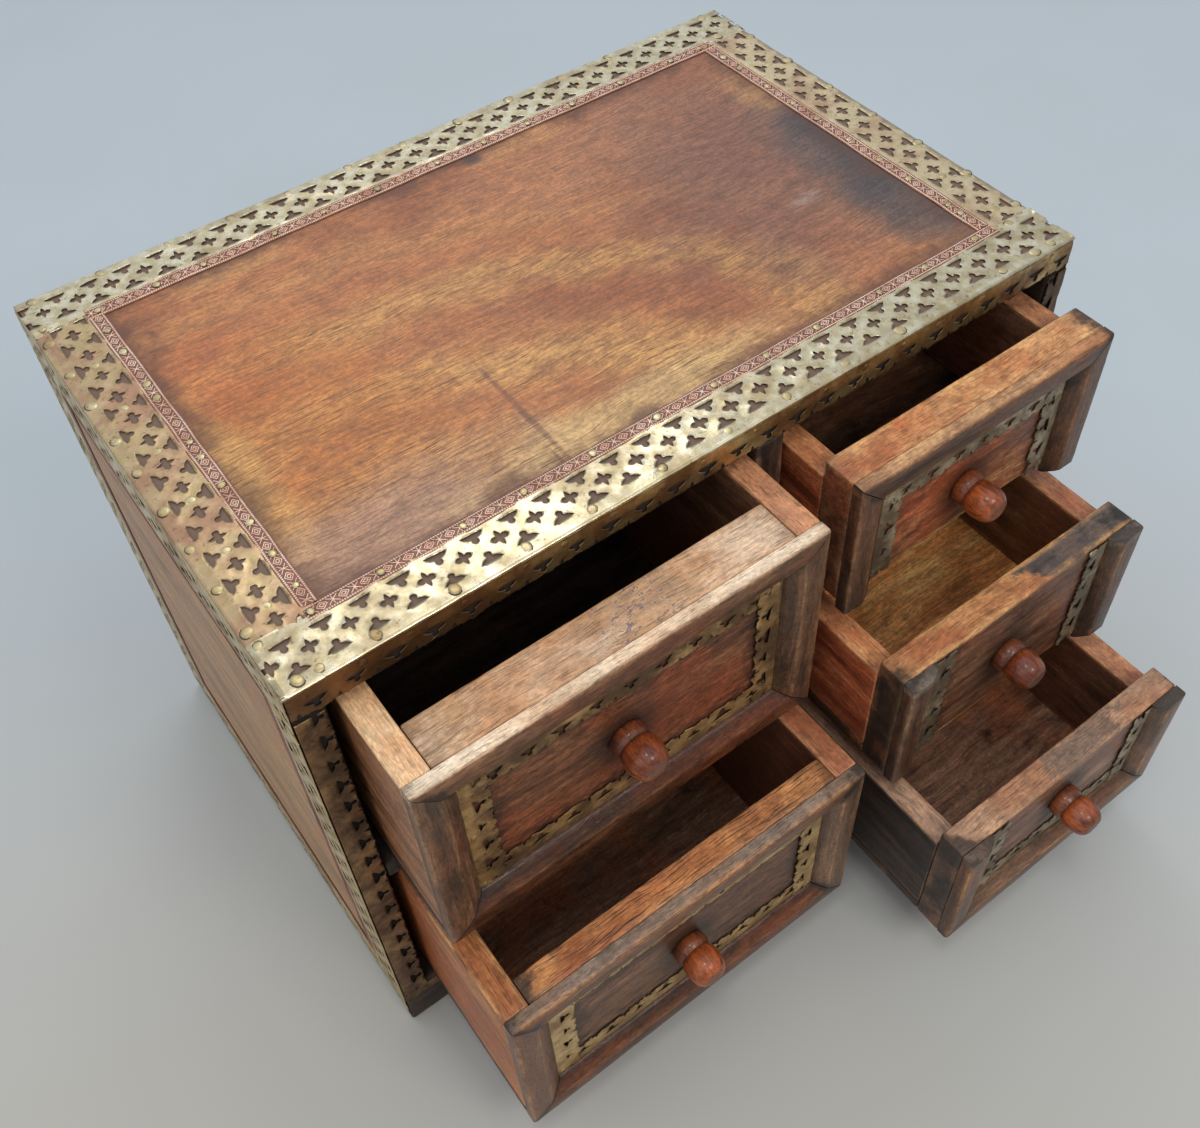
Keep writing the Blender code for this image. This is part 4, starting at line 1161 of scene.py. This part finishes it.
# Metals: display colours of bright, pale and tarnished metal and of dirt, the span of tarnish clouds, the span
# of roughness, and what differs from plain brass
METALS = {
    "bright_brass": ((210, 194, 154), (232, 220, 190), (158, 136, 98), (84, 70, 52), (0.40, 0.68),
                     (0.20, 0.36), dict(tarnish_share=0.7)),
    "rosy_brass": ((196, 170, 122), (206, 176, 136), (176, 132, 106), (76, 60, 46), (0.42, 0.62), (0.26, 0.40),
                   dict(tarnish_share=0.8)),
    "worn_brass": ((212, 192, 146), (224, 200, 162), (186, 148, 118), (84, 68, 54), (0.44, 0.66), (0.26, 0.40),
                   dict(tarnish_share=0.8)),
    "side_brass": ((204, 176, 120), (220, 196, 146), (150, 114, 74), (40, 30, 22), (0.44, 0.72), (0.28, 0.44),
                   dict(metallic=0.85)),
    "drawer_brass": ((160, 122, 74), (194, 156, 102), (84, 60, 41), (30, 22, 16), (0.40, 0.58), (0.34, 0.52),
                     dict(metallic=0.5, rim_dirt=(0.2, 0.7))),
    "golden_brass": ((196, 158, 98), (218, 186, 130), (138, 104, 64), (34, 25, 18), (0.42, 0.66), (0.34, 0.52),
                     dict(metallic=0.5, rim_dirt=(0.1, 0.6))),
    "grey_brass": ((150, 130, 98), (192, 176, 146), (92, 76, 58), (32, 26, 21), (0.36, 0.62), (0.34, 0.52),
                   dict(metallic=0.5, rim_dirt=(0.2, 0.7))),
    # The flange's darker left end is a painted dim reflection
    "flange_brass": ((192, 156, 98), (208, 180, 124), (114, 76, 48), (36, 26, 19), (0.38, 0.64), (0.32, 0.50),
                     dict(metallic=0.85, rim_dirt=(0.3, 0.9), dull=(-190 * MM, -30 * MM))),
    "dark_brass": ((146, 110, 72), (174, 138, 94), (76, 53, 39), (30, 22, 17), (0.34, 0.60), (0.38, 0.56),
                   dict(metallic=0.75, rim_dirt=(0.3, 0.9))),
    "tack": ((200, 178, 128), (218, 200, 156), (160, 132, 90), (36, 28, 22), (0.44, 0.72), (0.28, 0.42),
             dict(rim_dirt=(0.85, 1.0))),
    "copper": ((230, 180, 154), (240, 202, 178), (194, 140, 114), (110, 80, 70), (0.46, 0.74), (0.36, 0.52),
               dict(metallic=0.8, relief=(108, 75, 62), bump=0.08)),
    "dark_copper": ((176, 112, 88), (192, 130, 104), (120, 72, 56), (60, 40, 34), (0.42, 0.70), (0.40, 0.56),
                    dict(metallic=0.7, relief=(62, 38, 31), bump=0.08))}

# Finishes of each drawer: left wall, front board, mouldings, bottom moulding, bottom and brass
DRAWERS = {
    "upper_left": ("pale_rubbed", "pale_front", "pale_stick", "glossy_stick", "dark", "drawer_brass"),
    "lower_left": ("honey_rubbed", "orange_front", "light_stick", "glossy_stick", "murky_bottom",
                   "golden_brass"),
    "upper_right": ("warm_rubbed", "golden_front", "stick", None, "dim_bottom", "grey_brass"),
    "middle_right": ("warm_rubbed", "stained_front", "ashen_stick", None, "bottom", "grey_brass"),
    "lower_right": ("murky_rubbed", "grey_front", "light_stick", "light_stick", "murky_bottom", "grey_brass")}

FINISH = {"top": top_material(), "knob": knob_material()}
for finish_name, (*colours, options) in WOODS.items():
    FINISH[finish_name] = wood_material(finish_name + "_finish", *colours, **options)
for finish_name, (*values, options) in METALS.items():
    FINISH[finish_name] = metal_material(finish_name + "_finish", *values, **options)


def build_carcase():
    """Boards of the chest itself."""
    plan = (("top_board", 0, "top", "top_wood"), ("base_board", 0, "dark", "carcase_wood"),
            ("left_side", 1, "side", "carcase_wood"), ("right_side", 1, "side", "carcase_wood"),
            ("back_panel", 0, "back", "carcase_wood"), ("column_divider", 2, "stick", "carcase_wood"),
            ("left_shelf", 0, "dark", "carcase_wood"), ("right_lower_shelf", 0, "dark", "carcase_wood"),
            ("right_upper_shelf", 0, "dark", "carcase_wood"))
    for seed, (node, along, finish, slot) in enumerate(plan):
        mesh = worn_board(node, along, seed + 11)
        add_piece(node + "_worn", mesh, FINISH[finish], "carcase", (node,))


def build_drawer(drawer, seed):
    """Boards, moulding sticks and knob of one drawer."""
    body = drawer + "_drawer"
    left_wall, front, stick, bottom_stick, bottom, _ = DRAWERS[drawer]
    walls = "russet_rubbed"
    plan = (("front", 0, front, "drawer_front_wood", Y), ("left_side", 1, left_wall, "drawer_wood", X),
            ("right_side", 1, walls, "drawer_wood", -X), ("back", 0, walls, "drawer_wood", -Y),
            ("bottom", 0, bottom, "drawer_wood", None))
    for step, (part, along, finish, slot, inside) in enumerate(plan):
        node = drawer + "_" + part
        mesh = worn_board(node, along, seed + step, inside, part.endswith("side"))
        add_piece(node + "_worn", mesh, FINISH[finish], body, (node,))
    sticks = sticks_of(drawer)
    for step, (side, node) in enumerate(sticks.items()):
        along, across = STICK_AXES[side]
        mitres = (1.0, 1.0)
        if side in ("left", "right"):
            mitres = ("bottom" in sticks, "top" in sticks)
        mesh = worn_stick(node, along, across, -Y, mitres, seed + 20 + step, float(side != "bottom"))
        finish = bottom_stick if side == "bottom" else stick
        add_piece(node + "_worn", mesh, FINISH[finish], body, (node,))
    node = drawer + "_knob"
    mesh = knob_mesh(node, box_of(drawer + "_front")[0][1], seed % 7)
    add_piece(node + "_turned", mesh, FINISH["knob"], body, (node,), sharp=60.0)


def build_drawer_brass(drawer, seed):
    """Pierced half strips round a drawer's panel, inside its mouldings, with their tacks."""
    body = drawer + "_drawer"
    finish = FINISH[DRAWERS[drawer][-1]]
    low, high = box_of(drawer + "_front")
    rims = panel_rims(drawer)
    left, right = rims["left"], rims["right"]
    stick_low, stick_high = box_of(drawer + "_left_stick")
    bottom = stick_low[2] + PANEL_INSET if "bottom" in rims else low[2]
    top = stick_high[2] - PANEL_INSET if "top" in rims else high[2] - 1.0 * MM
    starts = {"top": ((left, top), right - left), "bottom": ((left, bottom), right - left),
              "left": ((left, bottom), top - bottom), "right": ((right, bottom), top - bottom)}
    spots = []
    for step, side in enumerate(rims):
        along, across = STICK_AXES[side]
        (place_x, place_z), length = starts[side]
        origin = np.array((place_x, low[1], place_z))
        level = SHEET_LEVEL + (SHEET_LAP if side in ("left", "right") else 0.0)
        add_sheet(drawer + "_brass_" + side, finish, body, length, 0.5 * SHEET_PITCH, 1, seed + 40 + 10 * step,
                  origin, along, across, -Y, level=level, ragged=1.8 * MM, rough=3.2, crumple=1.7,
                  hole_size=0.84)
        count = max(2, int(length / (1.5 * SHEET_PITCH)))
        gap = (length - 2 * DRAWER_TACK_END) / (count - 1)
        first = origin + DRAWER_TACK_END * along + DRAWER_TACK_PLACE * across - (level + 0.1 * MM) * Y
        spots.append(tack_row(first, gap * along, count, seed + 60 + step))
    mesh = tack_heads(drawer + "_tacks", np.concatenate(spots), -Y, seed + 70, DRAWER_TACK_RADIUS)
    add_piece(drawer + "_tacks", mesh, finish, body)


def build_brass():
    """Pierced brass of the chest: top, edges, sides and stiles."""
    low, high = box_of("top_board")
    front, back, surface = low[1], high[1], high[2]
    depth = back - front
    drop = surface - 0.9 * MM
    edge = 200.4 * MM
    outer_front, outer_back = front - 0.9 * MM, back + 0.9 * MM
    side_start, side_length = -103.5 * MM, 207 * MM
    over = dict(level=0.75 * MM, lip=0.7 * MM, crumple=1.5)
    between = dict(over, level=0.42 * MM)
    flange = dict(ragged=1.5 * MM, rough=2.0)
    band = dict(level=0.5 * MM, trim=2.5 * MM)
    stile = dict(level=0.9 * MM, width=12.6 * MM, ragged=0.6 * MM, crumple=3.0, rough=2.0)
    plan = [
        ("front_top", "bright_brass", 2 * edge, 2.4, 2, 101, (-edge, outer_front, surface), X, Y, Z,
         dict(over, stands_for=("brass_front_strip",))),
        ("back_top", "bright_brass", 2 * edge, 9.0, 2, 102, (-edge, outer_back, surface), X, -Y, Z,
         dict(over, stands_for=("brass_back_strip",), trim=0.4 * MM)),
        ("left_top", "rosy_brass", side_length, 6.0, 2, 103, (-edge, side_start, surface), Y, X, Z,
         dict(between, stands_for=("brass_left_strip",))),
        ("right_top", "worn_brass", side_length, 3.0, 2, 104, (edge, side_start, surface), Y, -X, Z,
         dict(between, stands_for=("brass_right_strip",), trim=1.8 * MM)),
        ("front_flange", "flange_brass", 2 * SIDE_FACE, 3.0, 1, 105, (-SIDE_FACE, front, drop), X, -Z, -Y,
         dict(flange, crumple=1.6)),
        ("back_flange", "flange_brass", 2 * SIDE_FACE, 5.0, 1, 106, (-SIDE_FACE, back, drop), X, -Z, Y,
         flange)]
    rise, foot = 248 * MM, 27 * MM
    stile_rise, stile_foot = 255 * MM, 32.5 * MM
    lower_top, base_top = 31 * MM, 30.6 * MM
    for name, out, seed in (("left", -X, 110), ("right", X, 130)):
        face = out[0] * SIDE_FACE
        plan += [
            (name + "_upper_band", "side_brass", depth, 4.0, 2, seed, (face, front, drop), Y, -Z, out, {}),
            (name + "_front_band", "side_brass", rise, 7.0, 2, seed + 1, (face, front, foot), Z, Y, out, band),
            (name + "_back_band", "side_brass", rise, 7.0, 2, seed + 2, (face, back, foot), Z, -Y, out, band),
            (name + "_lower_band", "side_brass", depth, 7.0, 2, seed + 3, (face, front, lower_top), Y, -Z, out,
             {}),
            (name + "_stile", "dark_brass", stile_rise, 6.0, 1, seed + 4, (face, front, stile_foot), Z, -out,
             -Y, stile)]
    plan.append(("base_strip", "dark_brass", 2 * SIDE_FACE, 6.0, 1, 150, (-SIDE_FACE, front, base_top), X, -Z,
                 -Y, dict(width=7.0 * MM, ragged=0.4 * MM)))
    for name, finish, length, phase, halves, seed, origin, along, across, outward, options in plan:
        add_sheet("brass_" + name, FINISH[finish], "carcase", length, phase * MM, halves, seed, origin, along,
                  across, outward, **options)


def build_copper():
    """Stamped copper strips round the top's bare field."""
    low, high = box_of("copper_border")
    half = COPPER_HALF_WIDTH
    surface = box_of("top_board")[1][2]
    length = high[0] - low[0]
    depth = high[1] - low[1] - 4 * half
    long_rest, short_rest = (0.78 * MM, 0.1 * MM), (0.50 * MM, 0.1 * MM)
    plan = (("copper_front", length, (low[0], low[1] + half, surface), X, Y, long_rest),
            ("copper_back", length, (low[0], high[1] - half, surface), X, -Y, long_rest),
            ("copper_left", depth, (low[0] + half, low[1] + 2 * half, surface), Y, X, short_rest),
            ("copper_right", depth, (high[0] - half, low[1] + 2 * half, surface), Y, -X, short_rest))
    for step, (name, run, origin, along, across, rest) in enumerate(plan):
        mesh = copper_strip(name, run, np.array(origin), along, across, Z, 200 + step, rest)
        stands_for = ("copper_border",) if step == 0 else ()
        add_piece(name, mesh, FINISH["copper"], "carcase", stands_for, sharp=70.0)


def build_side_copper():
    """Stamped copper strips round the bare panel of each side, inside its brass bands."""
    half = COPPER_HALF_WIDTH
    rest = (0.1 * MM, 0.1 * MM)
    ahead = 99.3 * MM
    lower, upper = 35.0 * MM, 271.2 * MM
    rise = upper - lower - 2 * half
    for name, out in (("left", -X), ("right", X)):
        face = out[0] * SIDE_FACE
        plan = (("upper", 2 * (ahead + half), (face, -ahead - half, upper), Y, Z),
                ("lower", 2 * (ahead + half), (face, -ahead - half, lower), Y, Z),
                ("front", rise, (face, -ahead, lower + half), Z, Y),
                ("back", rise, (face, ahead, lower + half), Z, Y))
        for step, (part, run, origin, along, across) in enumerate(plan):
            piece = "copper_%s_side_%s" % (name, part)
            mesh = copper_strip(piece, run, np.array(origin), along, across, out, 220 + step, rest,
                                step=2 * COPPER_STEP)
            add_piece(piece, mesh, FINISH["dark_copper"], "carcase", sharp=70.0)


def build_tacks():
    """Tacks of the chest's own brass and copper, in rows along margins, star rows and the copper strips.

    Each row has a start, a step and a count.
    """
    low, high = box_of("top_board")
    surface = high[2]
    step = 2 * SHEET_PITCH
    over = surface + 0.80 * MM
    between = surface + 0.48 * MM
    copper = surface + 1.12 * MM
    side_copper = copper - 0.3 * MM
    front = low[1] - SHEET_LEVEL
    upper, lower = surface - 4.2 * MM, 27.2 * MM
    top_spots = tack_rows(301, 1.2 * MM, (
        ((-0.1925, -0.1255, over), step * X, 13), ((-0.1925, 0.1262, over), step * X, 13),
        ((-0.1968, -0.0960, between), 1.5 * SHEET_PITCH * Y, 9), ((0.1978, -0.0960, between), step * Y, 7),
        ((-0.1863, -0.0896, between), step * Y, 6), ((0.1877, -0.0926, between), step * Y, 6),
        ((-0.1965, -0.1045, over), 0.381 * X, 2), ((-0.1965, 0.1060, over), 0.381 * X, 2),
        ((-0.1830, -0.1255, over), 0.36195 * X, 2)))
    copper_spots = np.concatenate((
        tack_rows(321, 5 * MM, (((-0.1730, -0.1024, copper), 30.8 * MM * X, 12),
                                ((-0.1730, 0.1024, copper), 28.8 * MM * X, 13))),
        tack_rows(323, 6 * MM, (((-0.1734, -0.0930, side_copper), 20.5 * MM * Y, 10),
                                ((0.1734, -0.0930, side_copper), 20.5 * MM * Y, 10)))))
    front_spots = tack_rows(331, 4 * MM, (
        ((-0.1940, front, upper), 1.4 * SHEET_PITCH * X, 18), ((-0.1965, front, 0.0400), 24 * MM * Z, 11),
        ((0.1965, front, 0.0400), 24 * MM * Z, 11), ((-0.1900, front, lower), step * X, 12)))
    back_spots = tack_rows(341, 4 * MM, (((-0.1900, -front, upper), step * X, 13),))
    plan = [("top_tacks", top_spots, Z, TACK_RADIUS, "tack"),
            ("copper_tacks", copper_spots, Z, 1.75 * MM, "tack"),
            ("front_tacks", front_spots, -Y, 1.8 * MM, "flange_brass"),
            ("back_tacks", back_spots, Y, 1.8 * MM, "flange_brass")]
    for name, out in (("left", -X), ("right", X)):
        face = out[0] * (SIDE_FACE + SHEET_LEVEL)
        spots = tack_rows(351, 4 * MM, (
            ((face, -0.1230, surface - 4.0 * MM), step * Y, 8), ((face, -0.1252, 0.0420), step * Z, 8),
            ((face, 0.1252, 0.0420), step * Z, 8), ((face, -0.1230, lower), step * Y, 8)))
        plan.append((name + "_side_tacks", spots, out, 1.7 * MM, "side_brass"))
    for seed, (name, spots, outward, radius, finish) in enumerate(plan):
        mesh = tack_heads(name, spots, outward, 360 + seed, radius)
        add_piece(name, mesh, FINISH[finish], "carcase")


def add_camera(scene):
    """Camera at the photograph's place."""
    camera = bpy.data.cameras.new("photo_camera")
    camera.sensor_width = SENSOR_WIDTH
    camera.lens = SENSOR_WIDTH * FOCAL_PIXELS / IMAGE_WIDTH
    camera.shift_x = (IMAGE_WIDTH / 2 - MIDDLE_PIXEL[0]) / IMAGE_WIDTH
    camera.shift_y = (MIDDLE_PIXEL[1] - IMAGE_HEIGHT / 2) / IMAGE_WIDTH
    camera.clip_start = 0.01
    holder = bpy.data.objects.new("photo_camera", camera)
    holder.location = CAMERA_PLACE
    holder.rotation_euler = Euler([math.radians(angle) for angle in CAMERA_ANGLES])
    scene.collection.objects.link(holder)
    scene.camera = holder


def add_floor(scene):
    """Level pale floor, warmer towards the camera and darker there as painted shade."""
    corners = FLOOR_REACH * np.array(((-1, -1, 0), (1, -1, 0), (1, 1, 0), (-1, 1, 0)))
    mesh = make_mesh("floor", corners, [np.arange(4)[None, :]], {})
    floor = bpy.data.objects.new("floor", mesh)
    scene.collection.objects.link(floor)
    material, tree, shader = new_material("floor_finish")
    place = tree.place()
    axes = tree.axes(place)
    away = tree.plus(tree.times(axes["X"], 0.6), tree.times(axes["Y"], 0.8))
    # Painted shade: the floor grows darker, and warmer, towards the camera
    colour = tree.mix(tree.span(away, -0.40, 0.25), (180, 176, 167), (190, 198, 202))
    colour = tree.mix(tree.span(tree.noise(place, 5.0), 0.3, 0.7, 0.0, 0.15), colour, (178, 178, 176))
    tree.put(shader.inputs["Base Color"], colour)
    shader.inputs["Roughness"].default_value = 0.7
    mesh.materials.append(material)


def add_sky(scene):
    """Pale sky, brighter behind the chest than in front of it."""
    world = bpy.data.worlds.new("sky")
    world.use_nodes = True
    scene.world = world
    sky = world.node_tree.nodes["Background"]
    tree = Tree(world.node_tree)
    sky.inputs["Color"].default_value = shade(228, 238, 250)
    towards = tree.axes(tree.place("Generated"))
    tree.put(sky.inputs["Strength"], tree.span(towards["Y"], -0.6, 0.8, 0.38, 0.95))


def add_lamp(scene, name, place, target, size, power, colour):
    """Square soft lamp at a place, turned towards a target."""
    lamp = bpy.data.lights.new(name, "AREA")
    lamp.size = size
    lamp.energy = power
    lamp.color = colour
    holder = bpy.data.objects.new(name, lamp)
    holder.location = place
    holder.rotation_euler = Vector(np.array(target) - np.array(place)).to_track_quat("-Z", "Y").to_euler()
    scene.collection.objects.link(holder)


def build_stage():
    """Camera, pale floor, sky and soft lamps above, in front, behind and on the left."""
    scene = bpy.context.scene
    scene.view_settings.view_transform = "Standard"
    add_camera(scene)
    add_floor(scene)
    add_sky(scene)
    for lamp in LAMPS:
        add_lamp(scene, *lamp)


build_carcase()
for order, drawer_name in enumerate(DRAWERS):
    build_drawer(drawer_name, 1000 * (order + 1))
    build_drawer_brass(drawer_name, 1000 * (order + 1) + 500)
build_brass()
build_copper()
build_side_copper()
build_tacks()
build_stage()
